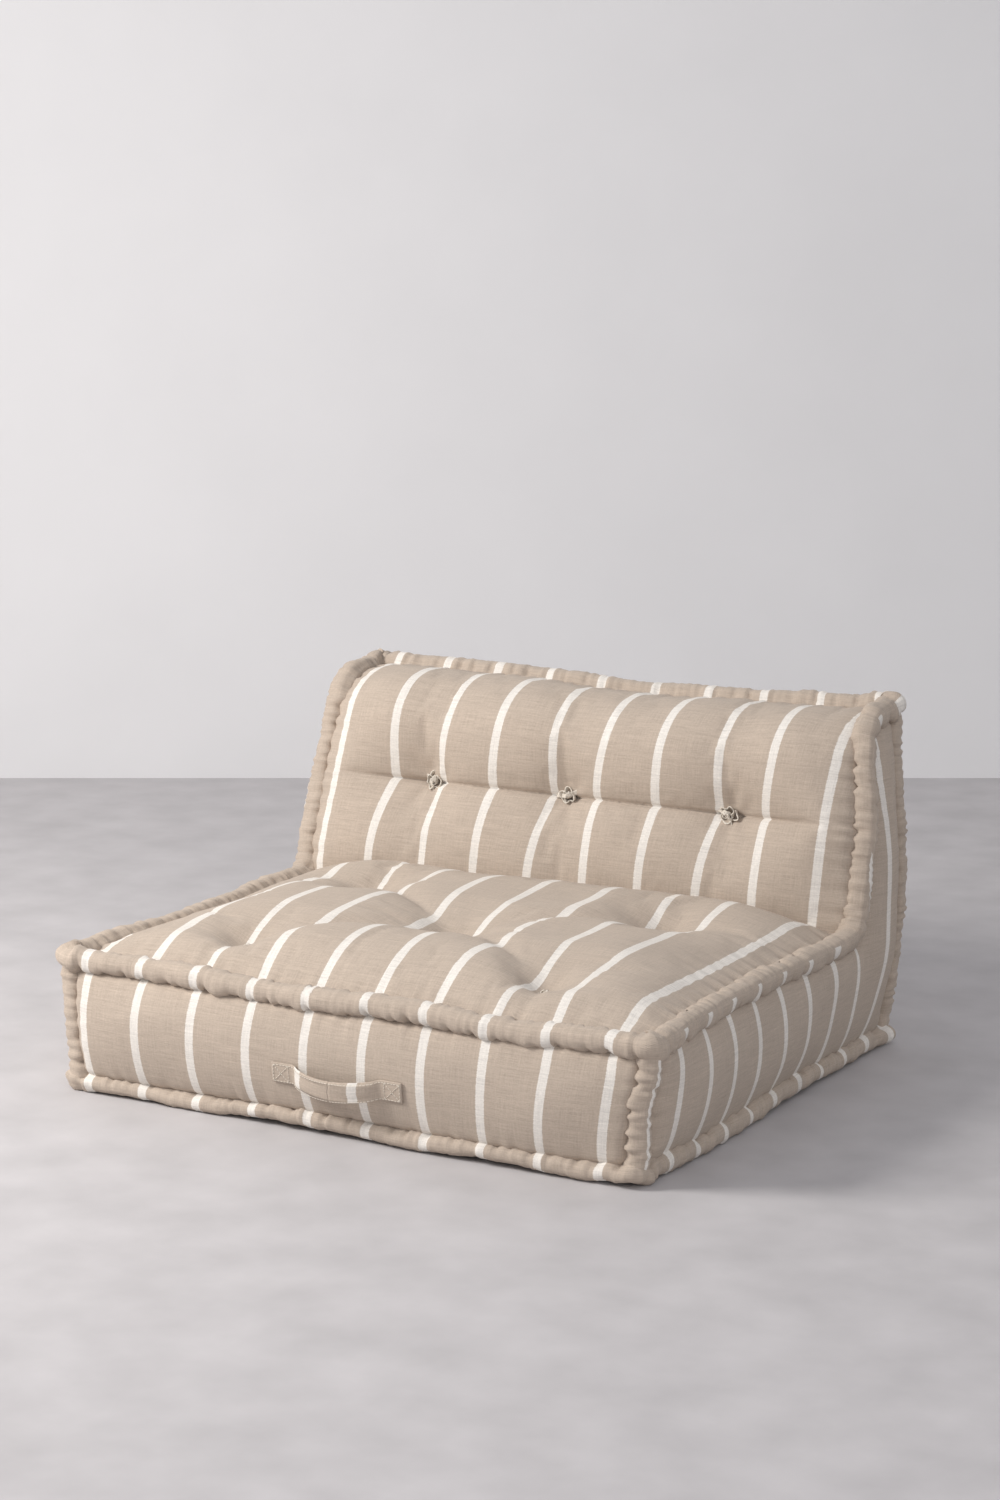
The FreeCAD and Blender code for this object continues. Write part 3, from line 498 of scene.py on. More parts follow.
def seat_rise(x, y):
    """Height of the seat above its seams."""
    places = joined(x, y)
    reaches = [np.hypot(x - tuft[0], y - tuft[1]) for tuft in SEAT_TUFTS]
    edge = hill((0.460 - np.abs(x)) / 0.20) * hill((y + 0.410) / 0.105) * hill((0.250 - y) / 0.125)
    foot = 0.004 + 0.0095 * smooth(0.30, 0.44, x) * smooth(-0.40, -0.33, y) * (1 - smooth(0.12, 0.24, y))
    rise = foot + (0.055 - foot) * edge
    rise = rise + (0.003 + 0.007 * smooth(-0.05, 0.30, x)) * smooth(0.06, 0.17, y) * edge
    for tuft, reach in zip(SEAT_TUFTS, reaches):
        angle = np.arctan2(y - tuft[1], x - tuft[0])
        rise = rise + 0.0022 * np.sin(7 * angle + 9 * tuft[0]) * bell(reach - 0.035, 0.022)
    middle = SEAT_TUFTS[0]
    for tuft in SEAT_TUFTS[1:]:
        outer, ahead = ((tuft[0] * wide, tuft[1] + (tuft[1] - middle[1]) * deep)
                        for wide, deep in ((1.55, 0.15), (1.05, 0.75)))
        for start, end, depth, width in ((middle, tuft, 0.008, 0.026), (tuft, middle, 0.006, 0.026),
                                         (tuft, outer, 0.007, 0.022), (tuft, ahead, 0.006, 0.022)):
            rise = rise - depth * groove(places, start, end, width)
    rise = rise + 0.0018 * swirl(places, 0.10, 31) * edge
    for tuft in SEAT_TUFTS[1:3]:
        rise = rise + 0.006 * bell(np.hypot((x - tuft[0]) / 1.5, y - tuft[1] + 0.062), 0.045)
    for reach in reaches:
        drawn = np.exp(-(reach / 0.048) ** 1.4)
        rise = rise * (1 - drawn) + 0.006 * drawn
    return rise


def make_seat():
    x, y = np.meshgrid(span(-TOP_PANEL_X, TOP_PANEL_X, 0.006), span(SEAT_FRONT, SEAT_BACK, 0.006))
    drawn = puckers(x + 0.5, y + 0.406, 1.0, 32) + puckers(y + 0.5, 0.454 - np.abs(x), 0.8, 33)
    points = joined(x, y, SEAT_Z + 0.002 + seat_rise(x, y) - drawn)
    ripple = 0.0016 * swirl(y[..., None], 0.014, 34) * np.exp(-(0.454 - np.abs(x)) / 0.03)
    cloth = joined(drawn_to(striped_at(points), x, y, SEAT_TUFTS, 0.30, 0.08) + ripple, y)
    piece = cloth_object("seat_panel", [(points, cloth, 0)], [striped])
    edge = np.minimum(TOP_PANEL_X - np.abs(x), np.minimum(y - SEAT_FRONT, SEAT_BACK - y))
    puff(piece, held_cloth(edge, x, y, SEAT_TUFTS, 0.014, 0.05), 0.007)
    settle(piece, "seat_cover", fill=0.75)


def backrest_line():
    """Side profile of the backrest from the seat to the back roll: places, outward normals and lengths."""
    foot, rear = np.array([JUNCTION_Y - 0.012, SEAT_Z - 0.012]), np.array([0.418, 0.550])
    peak = np.array([PEAK_Y, PEAK_Z + 0.006])
    ahead = (peak - foot) / np.linalg.norm(peak - foot)
    shoulder = peak - ahead * 0.075
    share = np.linspace(0, 1, 200)[:, None]
    over = (1 - share) ** 2 * shoulder + 2 * share * (1 - share) * peak + share ** 2 * rear
    line = np.concatenate([foot + (shoulder - foot) * share[:-1], over])
    lengths = lengths_of(line)
    crease = np.interp(TUFT_Z, line[:, 1], lengths)
    stations = np.concatenate([span(0, crease - 0.022, 0.006), span(crease - 0.019, crease + 0.019, 0.0027),
                               span(crease + 0.022, lengths[-1], 0.006)])
    line = joined(*places_along(line, lengths, stations))
    ahead = unit(np.gradient(line, stations, axis=0))
    return line, joined(-ahead[:, 1], ahead[:, 0]), stations


def make_backrest():
    line, normals, stations = backrest_line()
    x, along = np.meshgrid(span(-TOP_PANEL_X, TOP_PANEL_X, 0.006), stations)
    total = stations[-1]
    crease = np.interp(TUFT_Z, line[:, 1], stations)
    below = np.clip(along / crease, 0, 1)
    above = np.clip((along - crease) / (total - crease), 0, 1)
    lobes = 0.026 * np.sin(np.pi * below) ** 0.62 + 0.033 * np.sin(np.pi * above) ** 0.66
    lobes = lobes * (1 - 0.6 * smooth(0.45, 0.9, above))
    whole = 0.040 * np.sin(np.pi * along / total) ** 0.7 * (1 - 0.5 * smooth(0.45, 0.9, above))
    level = np.full_like(x, 0.017)
    for tuft in BACKREST_TUFTS:
        level = level - 0.016 * bell(x - tuft, 0.055)
    tent = np.minimum(along / crease, (total - along) / (total - crease))
    outer = smooth(0.33, 0.45, np.abs(x))
    swell = (lobes + level * tent) * (1 - outer) + whole * outer
    edge = 0.12 + 0.88 * quarter((TOP_PANEL_X - np.abs(x)) / 0.10)
    places = joined(x, along)
    for tuft in BACKREST_TUFTS:
        reach = np.hypot(x - tuft, along - crease)
        angle = np.arctan2(along - crease, x - tuft)
        swell = swell - 0.014 * np.exp(-(reach / 0.040) ** 1.3)
        swell = swell + 0.0018 * np.sin(6 * angle + 8 * tuft) * bell(reach - 0.03, 0.02)
        for lean, length, depth in ((-0.10, 0.11, 0.0030), (0.25, 0.07, 0.0020), (-0.45, 0.06, 0.0020)):
            end = (tuft + lean * length, crease + length)
            swell = swell - depth * groove(places, (tuft, crease + 0.012), end, 0.007)
    swell = swell - 0.0045 * bell(along - crease, 0.0032) * (1 - outer)
    swell = swell * edge + 0.0016 * swirl(places, 0.10, 41) * edge
    drawn = puckers(along, 0.454 - np.abs(x), total, 42) + puckers(x + 0.5, total - 0.012 - along, 1.0, 43)
    swell = swell - drawn
    row = np.broadcast_to(np.arange(len(stations))[:, None], x.shape)
    profile = line[row] + normals[row] * swell[..., None]
    points = np.concatenate([x[..., None], profile], -1)
    tufts = [(tuft, crease) for tuft in BACKREST_TUFTS]
    across = striped_at(points, STRIPE_SHIFT + (TOP_SHIFT - STRIPE_SHIFT) * along / total)
    cloth = joined(drawn_to(across, x, along, tufts, 0.25, 0.07), along)
    piece = cloth_object("backrest_panel", [(points, cloth, 0)], [striped])
    edge = np.minimum(TOP_PANEL_X - np.abs(x), np.minimum(along, total - along))
    held = held_cloth(edge, x, along, tufts, 0.012, 0.045)
    puff(piece, np.maximum(held, 0.6 * bell(along - crease, 0.010) * (1 - outer)), 0.006)
    settle(piece, "backrest_cover", fill=0.75)


def edge_distance(places, start, end):
    """Distance of places from a straight edge, and how far along it they lie."""
    ahead = end - start
    length = np.linalg.norm(ahead)
    along = np.clip((places - start) @ ahead / length, 0, length)
    nearest = start + along[..., None] * ahead / length
    return np.linalg.norm(places - nearest, axis=-1), along, length


def make_sides():
    # The outline along the axes of the rolls, as y and z
    corners = np.array([(-CORNER_Y, BASE_Z), (CORNER_Y, BASE_Z), (CORNER_Y, TOP_Z), (PEAK_Y, PEAK_Z),
                        (JUNCTION_Y, SEAT_Z), (-CORNER_Y, SEAT_Z)])
    columns = np.unique(np.concatenate([
        span(-0.412, JUNCTION_Y - 0.012, 0.007), span(JUNCTION_Y - 0.012, PEAK_Y + 0.02, 0.0025),
        span(PEAK_Y + 0.02, 0.412, 0.006)]))
    tops = np.interp(columns, [-0.412, JUNCTION_Y, PEAK_Y, 0.421], [SEAT_Z, SEAT_Z, PEAK_Z, TOP_Z])
    share = np.linspace(0, 1, 70)[:, None]
    y = np.broadcast_to(columns, (70, len(columns)))
    z = BASE_Z + (tops - BASE_Z) * share
    places = joined(y, z)
    for name, side in SIDES.items():
        sharp, drawn = 0, 0
        for number, start in enumerate(corners):
            distance, along, length = edge_distance(places, start, corners[(number + 1) % len(corners)])
            sharp = sharp + (distance + 0.0005) ** -3.0
            drawn = drawn + puckers(along, np.maximum(distance - 0.012, 0), length, 60 + number + 10 * side)
        depth = sharp ** (-1 / 3.0)
        inner = np.clip((depth - 0.011) / 0.095, 0, 1)
        swell = 0.022 * inner * (2 - inner) + lip(depth - 0.008, 0.010)
        swell = swell + 0.0015 * swirl(places, 0.11, 50 + side) * quarter(depth / 0.05)
        points = joined(side * (AXIS_X - 0.003 + swell - drawn), y, z)
        cloth = joined(side_striped_at(y), z)
        grid = (points[:, ::side], cloth[:, ::side], 0)
        cover(f"{name}_side_panel", f"{name}_side_cover", [grid], fill=0.7)


# Rolls

def bent_path(corners, bends, step=0.004):
    """Points at even steps along straight runs with rounded corners."""
    line = [corners[:1]]
    for before, corner, after, bend in zip(corners, corners[1:], corners[2:], bends):
        arriving, leaving = unit(corner - before), unit(after - corner)
        turn = math.acos(np.clip(arriving @ leaving, -1, 1))
        reach = bend * math.tan(turn / 2)
        center = corner + unit(leaving - arriving) * bend / math.cos(turn / 2)
        start = (corner - arriving * reach - center) / bend
        angles = np.linspace(0, turn, 24)[:, None]
        line.append(center + bend * (start * np.cos(angles) + arriving * np.sin(angles)))
    line.append(corners[-1:])
    line = np.concatenate(line)
    lengths = lengths_of(line)
    stations = span(0, lengths[-1], step)
    return joined(*places_along(line, lengths, stations)), stations


def roll_halves(path, stations, outward, upward, seed, knots=(), folds=0.0006, lean=45.0, ridge_rise=0.06,
                flatten=1.0, pinch=0.0052):
    """Two half tubes that meet in a ridge seam, pinched where stitches draw the roll to its panels.

    outward and upward are the directions out of the two panels that the roll joins. The half on the upward
    panel comes first. Each half is a grid of points, with the way along the roll and the arc of cloth from
    its seam. knots are lumps along the roll, folds the depth of its creases, lean the ridge's angle from
    outward to upward in degrees, ridge_rise its height over the round roll, flatten the share of its height
    that a pressed roll keeps, and pinch the depth of its stitches.
    """
    outward, upward = (np.broadcast_to(np.array(heading, float), path.shape) for heading in (outward, upward))
    angle = np.radians(np.broadcast_to(lean, len(path)))[:, None]
    ridge = outward * np.cos(angle) + upward * np.sin(angle)
    aside = upward * np.cos(angle) - outward * np.sin(angle)
    angles = np.linspace(0, np.pi, 21)
    along, turn = np.meshgrid(stations, angles, indexing="ij")
    degrees = np.degrees(turn)
    seam = bell(degrees - 100, 38)
    calm = smooth(0, 0.016, along) * (1 - smooth(stations[-1] - 0.016, stations[-1], along))
    free = smooth(0, 20, degrees)
    source = np.random.default_rng(seed)
    halves = []
    for sign, shift in ((1, 0), (-1, 5)):
        around = joined(along, turn * sign * ROLL)
        change = ROLL * (0.05 * swirl(around[..., :1], 0.09, seed) + 0.045 * swirl(around, 0.028, seed + 1))
        for place in stitch_places(stations[-1], seed + 3 + shift):
            depth = source.uniform(0.3, 1.2)
            change = change - depth * free * (pinch * seam + 0.0008) * bell(along - place, 0.0042)
        gathers = swirl(around[..., :1], 0.009, seed + 7 + shift) * bell(degrees - 85, 42)
        change = change + 0.0011 * gathers + 0.0016 * seam * swirl(around[..., :1], 0.030, seed + 8 + shift)
        creased = swirl(joined(along, 0.15 * turn * sign * ROLL), 0.0065, seed + 12)
        change = change + folds * creased
        for knot in knots:
            lump = ROLL * (0.12 * swirl(around, 0.016, seed + 9) + 0.14) + 0.0022 * creased
            change = change + bell(along - knot, 0.028) * lump
        change = change + ridge_rise * ROLL * bell(degrees, 24)
        radius = ROLL - 0.0011 * bell(degrees, 7) - 0.0016 * bell(degrees - 106, 20) + change * calm
        ring = ridge[:, None] * np.cos(turn)[..., None] + sign * aside[:, None] * np.sin(turn)[..., None]
        ring = ring * radius[..., None]
        ring[..., 2] *= np.broadcast_to(flatten, len(path))[:, None]
        points = path[:, None] + ring
        arc = np.radians(98 - degrees) * ROLL
        order = slice(None, None, -sign)
        halves.append((points[:, order], along[:, order], arc[:, order]))
    return halves


def cover_roll(node, halves, wraps, turned):
    """Put a roll's halves in place of its CAD node, each in lengths of cloth from one row to another."""
    order = slice(None, None, -1 if turned else 1)
    grids = []
    for (points, along, arc), lengths in zip(halves, wraps):
        for first, last, cloth_of in lengths:
            rows = slice(first, last + 1)
            cloth = cloth_of(along[rows, order], arc[rows, order])
            grids.append((points[rows, order], cloth, 0))
    cover(node + "_cloth", node, grids, fill=0.9)


def lengthwise(side, first):
    """Cloth of a roll whose stripes run along it, from a first place across them."""
    return lambda along, arc: joined(side * (first + arc), along)


def crosswise(path, stations, slip=0):
    """Cloth of a roll whose stripes run on from the front or the back panel."""
    def cloth(along, arc):
        x, y, z = places_along(relax(path), stations, along)
        return joined(x + np.where(y < 0, STRIPE_SHIFT + dragged(x, z), TOP_SHIFT) + slip, arc)
    return cloth


def sidewise(path, stations, lean):
    """Cloth of a roll whose stripes run on from a side panel."""
    def cloth(along, arc):
        lift = np.interp(along, stations, lean)
        return joined(side_striped_at(places_along(path, stations, along)[1]) + arc * lift, arc)
    return cloth


def sway(stations, size, length, seed):
    """How far a roll strays between its ends."""
    stray = size * swirl(stations[:, None], length, seed)
    return stray * smooth(0, 0.03, stations) * smooth(0, 0.03, stations[-1] - stations)


def x_roll(node, facing, z, upward, seed):
    """Straight roll along the front or the back."""
    x = span(-STRAIGHT_X, STRAIGHT_X, 0.004)
    path = joined(x, 0 * x + facing * AXIS_Y, 0 * x + z)
    path[:, 2] += 0.0025 * swirl(x[:, None], 0.20, seed + 30) * smooth(0, 0.03, STRAIGHT_X - np.abs(x))
    path = path[::-facing]
    stations = np.linspace(0, 2 * STRAIGHT_X, len(x))
    halves = roll_halves(path, stations, (0, facing, 0), (0, 0, upward), seed,
                         flatten=0.76 if upward < 0 else 1.0)
    wraps = [[(0, len(x) - 1, crosswise(path, stations, slip))] for slip in rng.uniform(-0.002, 0.002, 2)]
    cover_roll(node, halves, wraps, upward < 0)


def path_frame(path, side):
    """Direction along a bent roll, and the level direction out of the sofa."""
    ahead = unit(np.gradient(path, axis=0))
    outward = unit(np.cross(ahead, [0, 0, 1.0]))
    away = joined(np.full(len(path), side), 0.9 * np.sign(path[:, 1]), np.zeros(len(path)))
    return ahead, outward * np.sign((outward * away).sum(1, keepdims=True))


def cover_bent_roll(node, path, stations, ahead, halves, middles, turned):
    """Cover a roll with two corners: one cloth for its ends, and one for each half between them."""
    rows = np.flatnonzero(np.abs(ahead[:, 0]) < math.sqrt(0.5))
    first, last = rows[0], rows[-1]
    ends = crosswise(path, stations)
    wraps = [[(0, first, ends), (first, last, middle), (last, len(path) - 1, ends)] for middle in middles]
    cover_roll(node, halves, wraps, turned)


def make_edge_rolls():
    """Rolls round the seat, up the backrest and over its top, with the corners at both ends."""
    for name, side in SIDES.items():
        corners = np.array([(STRAIGHT_X, -AXIS_Y, SEAT_Z), (AXIS_X, -AXIS_Y, SEAT_Z),
                            (AXIS_X, JUNCTION_Y, SEAT_Z), (AXIS_X, PEAK_Y, PEAK_Z),
                            (AXIS_X, AXIS_Y, TOP_Z), (STRAIGHT_X, AXIS_Y, TOP_Z)])
        bends = [CORNER_BEND, SEAT_BEND, TOP_BEND, CORNER_BEND]
        path, stations = bent_path(corners * [side, 1, 1], bends)
        ahead, outward = path_frame(path, side)
        upward = np.cross(outward, ahead)
        upward = upward * np.sign((upward * [0, -0.3, 1.0]).sum(1, keepdims=True))
        path = path + upward * sway(stations, 0.0022, 0.16, 70 + side)[:, None]
        away = np.minimum(stations, stations[-1] - stations)
        halves = roll_halves(path, stations, outward, upward, 80 + 5 * side,
                             [CORNER_KNOT, stations[-1] - CORNER_KNOT], folds=0.0014,
                             lean=45 - 17 * smooth(0.03, 0.08, away), ridge_rise=0.16)
        middles = [lengthwise(side, EDGE_CLOTH), sidewise(path, stations, upward[:, 1])]
        cover_bent_roll(f"{name}_edge_roll", path, stations, ahead, halves, middles, side < 0)
    x_roll("front_seat_roll", -1, SEAT_Z, 1, 100)
    x_roll("back_top_roll", 1, TOP_Z, 1, 110)


def make_base_rolls():
    """Rolls round the floor, pressed flat by the sofa's weight."""
    for name, side in SIDES.items():
        corners = np.array([(STRAIGHT_X, -AXIS_Y, BASE_Z), (AXIS_X, -AXIS_Y, BASE_Z),
                            (AXIS_X, AXIS_Y, BASE_Z), (STRAIGHT_X, AXIS_Y, BASE_Z)])
        path, stations = bent_path(corners * [side, 1, 1], [CORNER_BEND, CORNER_BEND])
        ahead, outward = path_frame(path, side)
        full = smooth(0.04, 0.13, np.minimum(stations, stations[-1] - stations))
        path[:, 2] += FLOOR_LIFT + sway(stations, 0.0015, 0.2, 120 + side) + 0.002 * full
        halves = roll_halves(path, stations, outward, (0, 0, -1), 130 + 5 * side,
                             [CORNER_KNOT, stations[-1] - CORNER_KNOT], folds=0.0014,
                             flatten=0.76 + 0.2 * full, pinch=0.0068)
        middles = [sidewise(path, stations, 0 * stations)] * 2
        cover_bent_roll(f"{name}_base_roll", path, stations, ahead, halves, middles, side > 0)
    x_roll("front_base_roll", -1, BASE_Z + FLOOR_LIFT, -1, 150)
    x_roll("back_base_roll", 1, BASE_Z + FLOOR_LIFT, -1, 160)


def make_corner_rolls():
    """Upright rolls at the four corners."""
    for end, facing, top in (("front", -1, SEAT_Z), ("back", 1, TOP_Z)):
        for name, side in SIDES.items():
            z = span(BASE_Z + 0.006, top - 0.006, 0.004)
            seed = 170 + 7 * facing + 3 * side
            x = side * (CORNER_X + 0.006) + 0.002 * swirl(z[:, None], 0.09, seed)
            y = facing * (CORNER_Y + 0.006) + 0.002 * swirl(z[:, None], 0.09, seed + 1)
            path = joined(x, y, z)
            halves = roll_halves(path, z - z[0], (side, 0, 0), (0, facing, 0), seed + 20, folds=0.0015,
                                 lean=36 + 9 * facing, ridge_rise=0.20, pinch=0.0050)
            wraps = [[(0, len(z) - 1, cloth)]
                     for cloth in (lengthwise(side, EDGE_CLOTH), lengthwise(facing, CORNER_CLOTH))]
            cover_roll(f"{end}_{name}_corner_roll", halves, wraps, side * facing > 0)


# Tuft rosettes

ROSETTE_SCALE, TAPE_TURNS, TAPE_THICKNESS = 1.38, 1.75, 0.0017
SEAT_SINK, BACKREST_LIFT = 0.004, 0.006  # of the rosettes in and out of the cloth
BACKREST_LEAN = math.radians(12)


def rosette_grids(seed):
    """A ruffled tape on edge, wound round a knot, with two tails, on the plane z = 0."""
    source = np.random.default_rng(seed)
    start = source.uniform(0, 2 * np.pi)
    share, height = np.linspace(0, 1, 170)[:, None], np.linspace(0, 1, 5)[None]
    turn = start + share * 2 * np.pi * TAPE_TURNS
    ruffle = np.sin(3.7 * turn + 1.3 * np.sin(1.9 * turn + source.uniform(0, 6)))
    radius = 0.0034 + 0.0080 * share + 0.0026 * share ** 0.4 * ruffle * (0.45 + 0.55 * height)
    tall = 0.0085 - 0.0035 * share + 0.0012 * np.sin(5.3 * turn)
    radius = radius * (0.90 + 0.16 * height)
    tape = joined(radius * np.cos(turn), 0.92 * radius * np.sin(turn), tall * height)
    grids = [(tape, joined(*np.broadcast_arrays(height * 0.008, share * 0.12)), 0)]
    for number in range(2):
        heading = start + 0.6 + number * source.uniform(1.8, 3.0)
        radial = np.array([math.cos(heading), math.sin(heading), 0])
        beside = np.array([-math.sin(heading), math.cos(heading), 0])
        share, across = np.linspace(0, 1, 12), np.linspace(-1, 1, 5)
        line = share[:, None] * radial * source.uniform(0.014, 0.018)
        line[:, 2] = 0.008 * (1 - share) ** 1.5 + 0.0015 + 0.001 * np.sin(9 * share)
        tape = line[:, None] + across[None, :, None] * 0.0026 * (beside + [0, 0, 0.5])
        grids.append((tape, joined(*np.meshgrid(across * 0.0026, share * 0.02)), 0))
    turn, rise = np.meshgrid(np.linspace(0, 2 * np.pi, 17), np.linspace(0, np.pi, 11))
    ball = joined(np.sin(rise) * np.cos(turn), np.sin(rise) * np.sin(turn), np.cos(rise))
    folds = 1 + 0.13 * np.sin(3 * turn + 5 * rise + start)
    knot = ball * [0.0030, 0.0024, 0.0036] * folds[..., None] + [0, 0, 0.0058]
    grids.append((knot, joined(turn * 0.004, rise * 0.004), 0))
    return grids


def make_rosettes(name, node, places):
    """Rosettes at places given as matrices."""
    grids = []
    for number, place in enumerate(places):
        matrix = np.array(place)
        for points, cloth, slot in rosette_grids(200 + number):
            grids.append((points * ROSETTE_SCALE @ matrix[:3, :3].T + matrix[:3, 3], cloth, slot))
    piece = cloth_object(name, grids, [pale])
    thick = piece.modifiers.new("thickness", "SOLIDIFY")
    thick.thickness = TAPE_THICKNESS
    thick.offset = 0
    settle(piece, node, slot="plain_cloth")


def surface_point(piece, start, direction):
    """Where a ray meets a piece."""
    bpy.context.view_layer.update()
    return piece.ray_cast(Vector(start), Vector(direction))[1]


def before_settling(places):
    """Places that settling moves to the ones given."""
    places = np.array(places)
    return 2 * places - relax(places)


def make_twines(name, node, feet, heads):
    """Taut twines from the washers to the rosettes."""
    grids = []
    for foot, head in zip(feet, heads):
        points = tube(before_settling(np.linspace(foot, head, 10)), 0.002)
        grids.append((points, np.zeros(points.shape[:2] + (2,)), 0))
    settle(cloth_object(name, grids, [twine]), node, slot="twine")


def make_tufts():
    seat, backrest = bpy.data.objects["seat_panel"], bpy.data.objects["backrest_panel"]
    sink, lift = Vector((0, 0, -SEAT_SINK)), Vector((0, -BACKREST_LIFT, 0))
    heads = [surface_point(seat, (x, y, 1.0), (0, 0, -1)) + sink for x, y in SEAT_TUFTS]
    places = [Matrix.Translation(before_settling(head)) for head in heads]
    make_rosettes("seat_rosette_knots", "seat_rosettes", places)
    make_twines("seat_twine_lines", "seat_twines", [(x, y, WASHER_Z) for x, y in SEAT_TUFTS], heads)
    heads = [surface_point(backrest, (x, -1.0, TUFT_Z), (0, 1, 0)) + lift for x in BACKREST_TUFTS]
    tilt = Matrix.Rotation(math.radians(90) - BACKREST_LEAN, 4, "X")
    places = [Matrix.Translation(before_settling(head)) @ tilt for head in heads]
    make_rosettes("backrest_rosette_knots", "backrest_rosettes", places)
    feet = [(x, WASHER_Y, TUFT_Z) for x in BACK_WASHERS]
    make_twines("backrest_twine_lines", "backrest_twines", feet, heads)


# Strap handle

GRIP_END, SEWN, STRAP_END = 0.060, 0.079, 0.111
STRAP_X, STRAP_LIFT = -0.007, 0.0022
STRAP_HALF, STRAP_THICK = 0.016, 0.0016


def strap_frame():
    """Point, outward and upward direction of the front panel behind the middle of the handle."""
    low, high = (front_place(np.array([STRAP_X]), np.array([HANDLE_Z + step]))[0] for step in (-0.012, 0.012))
    upward = unit(high - low)
    return (low + high) / 2, np.cross([1.0, 0, 0], upward), upward


def strap_surface(x, w):
    """Middle of the strap's cloth at a place along and across it."""
    outward, upward = strap_frame()[1:]
    sewn = front_place(x + STRAP_X, HANDLE_Z + w * upward[2])
    sewn = sewn + outward * STRAP_LIFT
    reach = np.clip(np.abs(x) / GRIP_END, 0, 1)
    landing = smooth(GRIP_END - 0.004, SEWN, np.abs(x))
    bow = (0.0135 + 0.0120 * (1 - reach ** 2)) * (1 - landing) + STRAP_LIFT * landing
    sag = 0.0075 * (1 - np.clip(np.abs(x) / SEWN, 0, 1) ** 2)
    base = front_place(x + STRAP_X, np.full_like(x, HANDLE_Z))
    free = base + outward * bow[..., None] + upward * (w - sag)[..., None]
    hold = smooth(GRIP_END + 0.004, SEWN + 0.002, np.abs(x))[..., None]
    return free * (1 - hold) + sewn * hold, outward


def strap_grid(low, high):
    """Closed flat band with soft edges and lengthwise folds between two places along the strap."""
    turn = np.linspace(0, 2 * np.pi, 41)
    w = STRAP_HALF * np.sign(np.cos(turn)) * np.abs(np.cos(turn)) ** 0.35
    lift = STRAP_THICK * np.sign(np.sin(turn)) * np.abs(np.sin(turn)) ** 0.5
    x = span(low, high, 0.0025)
    along, across = np.meshgrid(x, w, indexing="ij")
    middle, outward = strap_surface(along, across)
    free = 1 - smooth(GRIP_END - 0.006, SEWN, np.abs(along))
    folds = 0.0011 * np.cos(across * 2 * np.pi / 0.0125 + 1.2 * np.sin(along * 30)) * free
    curl = -0.0035 * (across / STRAP_HALF) ** 2 * free
    points = middle + outward * (np.broadcast_to(lift, across.shape) + folds + curl)[..., None]
    ends = [np.broadcast_to(row.mean(1, keepdims=True), row.shape) for row in (points[:1], points[-1:])]
    points = np.concatenate([ends[0], points, ends[1]])
    along, across = (np.concatenate([values[:1], values, values[-1:]]) for values in (along, across))
    return points[:, ::-1], joined(along + 0.0125, across)[:, ::-1], 0


def stitch_row(start, end, side):
    """Short threads along a line on the strap, given along and across it."""
    start, end = np.array(start), np.array(end)
    length = np.linalg.norm(end - start)
    count = max(2, round(length / 0.0048))
    rows = []
    for number in range(count):
        share = (number + np.linspace(0.14, 0.86, 5)) / count
        spots = start + (end - start) * share[:, None]
        middle, outward = strap_surface(spots[:, 0] * side, spots[:, 1])
        line = middle + outward * (0.0017 + 0.0005 * np.sin(np.linspace(0, np.pi, 5)))[:, None]
        points = tube(line, 0.00045, 6)
        rows.append((points, np.zeros(points.shape[:2] + (2,)), 1))
    return rows


def make_handle():
    for name, side in SIDES.items():
        low, high = sorted((0.0, side * STRAP_END))
        grids = [strap_grid(low, high)]
        inner, outer, edge = SEWN + 0.003, STRAP_END - 0.003, 0.013
        box = [(inner, -edge), (outer, -edge), (outer, edge), (inner, edge)]
        lines = [(box[number], box[(number + 1) % 4]) for number in range(4)]
        lines += [(box[0], box[2]), (box[1], box[3])]
        lines += [((0.001, edge + 0.0015), (inner, edge)), ((0.001, -edge - 0.0015), (inner, -edge))]
        for start, end in lines:
            grids += stitch_row(start, end, side)
        piece = cloth_object(f"strap_{name}_half", grids, [striped, thread])
        middle = strap_frame()[0]
        start = (STRAP_X + side * SEWN, middle[1], middle[2])
        end = (STRAP_X + side * (GRIP_END - 0.012), middle[1], middle[2])
        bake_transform(piece)
        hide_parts(f"handle_{name}_end", "handle_grip")


# Pieces inside the covers

def dress_inner_nodes():
    foam = grained("open_foam", (0.84, 0.76, 0.54), 420.0, 0.10, 0.95, 0.0006)
    wadding = grained("cotton_wadding", (0.88, 0.86, 0.81), 90.0, 0.06, 1.0, 0.002)
    felt = grained("wool_felt", (0.33, 0.29, 0.25), 700.0, 0.14, 1.0, 0.0004)
    finishes = {"seat_foam": foam, "backrest_foam": foam, "seat_wadding": wadding,
                "backrest_wadding": wadding, "base_washers": felt, "back_washers": felt}
    for node, finish in finishes.items():
        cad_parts[node].data.materials.clear()
        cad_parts[node].data.materials.append(finish)


# Stage, light and camera

YAW, PITCH = math.radians(29.98), math.radians(10.74)
FOCAL_PIXELS, IMAGE_WIDTH = 3000.0, 1000.0
CAMERA_PLACE = (2.283, -3.949, 1.372)
STAGE_SIZE, WALL_DISTANCE = 24, 2.32


def open_behind(material):
    """Make a wall clear to views from behind it."""
    nodes = Nodes(material)
    behind = nodes.add("ShaderNodeNewGeometry").outputs["Backfacing"]
    clear = nodes.add("ShaderNodeBsdfTransparent").outputs[0]
    shown = nodes.add("ShaderNodeMixShader", (behind, nodes.shader.outputs[0], clear)).outputs[0]
    nodes.fill(nodes.tree.nodes["Material Output"], {"Surface": shown})


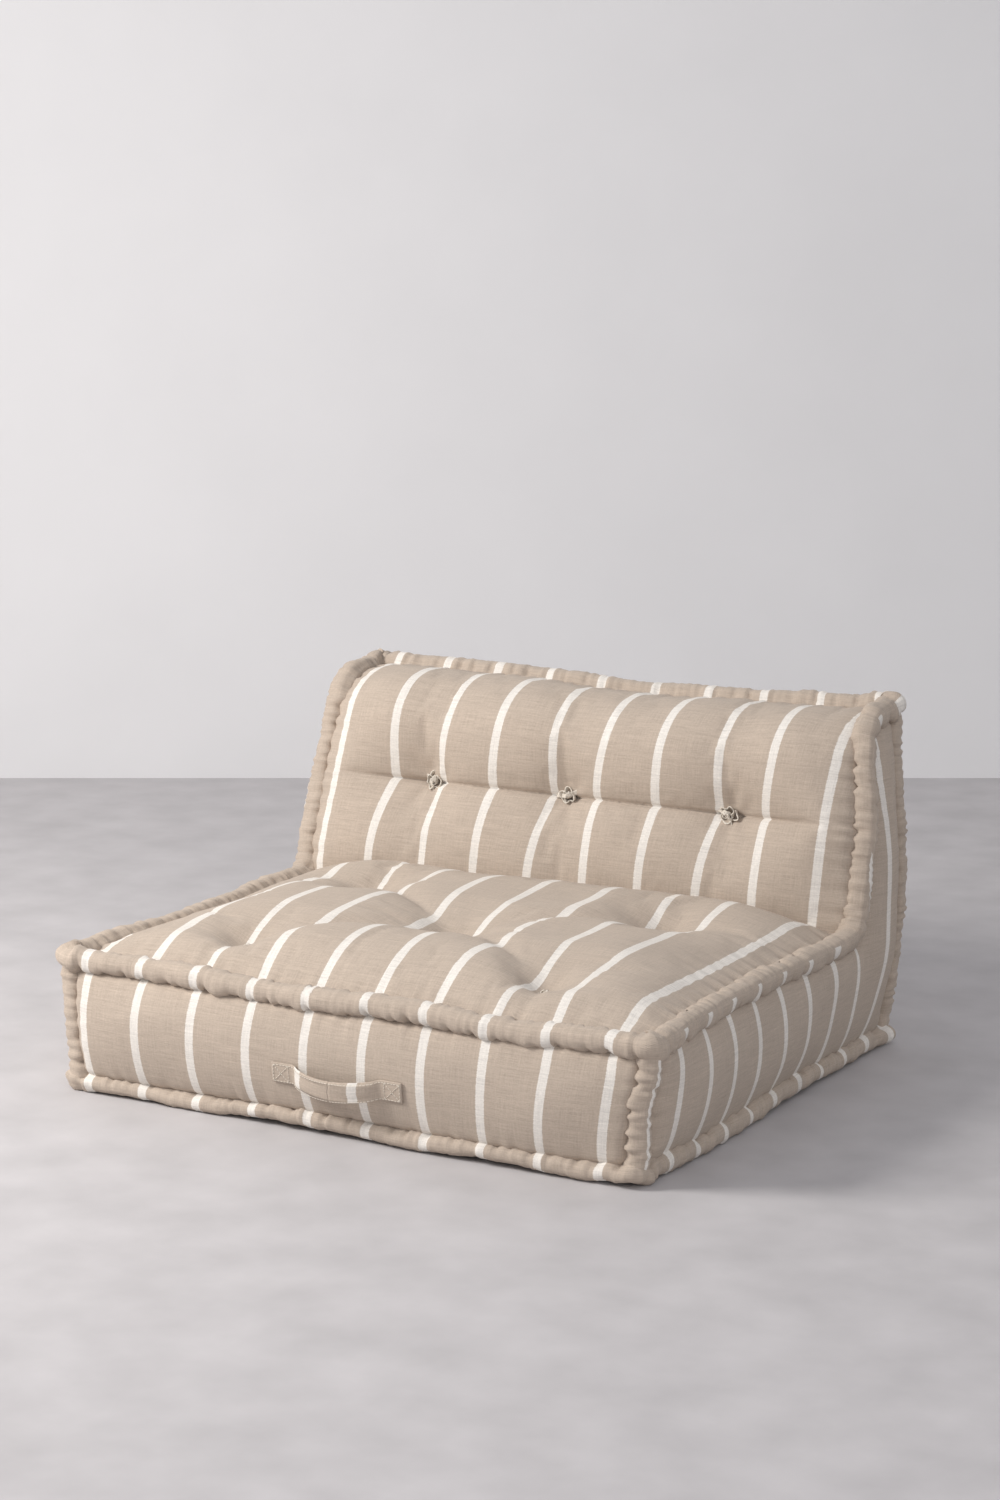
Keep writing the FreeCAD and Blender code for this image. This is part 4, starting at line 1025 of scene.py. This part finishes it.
def add_plane(name, material, place, rotation=(0, 0, 0)):
    bpy.ops.mesh.primitive_plane_add(size=STAGE_SIZE, location=place, rotation=rotation)
    plane = bpy.context.object
    plane.name = name
    plane.data.materials.append(material)
    return plane


def make_stage():
    floor_material = grained("pale_floor", (0.50, 0.480, 0.485), 9.0, 0.09, 0.7, 0.001)
    wall_material = grained("pale_wall", (0.74, 0.73, 0.735), 3.0, 0.02, 0.9, 0.001)
    open_behind(wall_material)
    floor = add_plane("floor", floor_material, (0, 0, 0))
    heading = Vector((-math.sin(YAW), math.cos(YAW), 0))
    wall = add_plane("wall", wall_material, heading * WALL_DISTANCE, (math.radians(90), 0, YAW))


def add_area(name, place, target, width, energy, color):
    lamp = bpy.data.lights.new(name, "AREA")
    lamp.shape = "DISK"
    lamp.size = width
    lamp.energy = energy
    lamp.color = color
    holder = bpy.data.objects.new(name, lamp)
    holder.location = place
    holder.rotation_euler = (Vector(target) - Vector(place)).to_track_quat("-Z", "Y").to_euler()
    bpy.context.scene.collection.objects.link(holder)


def make_light():
    add_area("key", (-2.0, -1.9, 2.1), (0.0, 0.0, 0.25), 1.2, 106.0, (1.0, 0.975, 0.94))
    add_area("fill", (2.8, -2.6, 2.2), (0.0, 0.0, 0.3), 2.6, 30.0, (0.97, 0.97, 1.0))
    world = bpy.data.worlds.new("studio")
    world.use_nodes = True
    background = world.node_tree.nodes["Background"]
    background.inputs["Color"].default_value = (0.95, 0.96, 1.0, 1.0)
    background.inputs["Strength"].default_value = 0.58
    bpy.context.scene.world = world
    bpy.context.scene.view_settings.view_transform = "Standard"


def make_camera():
    lens = bpy.data.cameras.new("camera")
    lens.sensor_fit = "HORIZONTAL"
    lens.sensor_width = 36.0
    lens.lens = FOCAL_PIXELS / IMAGE_WIDTH * lens.sensor_width
    lens.clip_end = 100.0
    camera = bpy.data.objects.new("camera", lens)
    camera.location = CAMERA_PLACE
    camera.rotation_euler = (math.radians(90) - PITCH, 0, YAW)
    bpy.context.scene.collection.objects.link(camera)
    bpy.context.scene.camera = camera


make_camera()
make_stage()
make_light()
make_front()
make_back()
make_base()
make_seat()
make_backrest()
make_sides()
make_edge_rolls()
make_base_rolls()
make_corner_rolls()
make_tufts()
make_handle()
dress_inner_nodes()
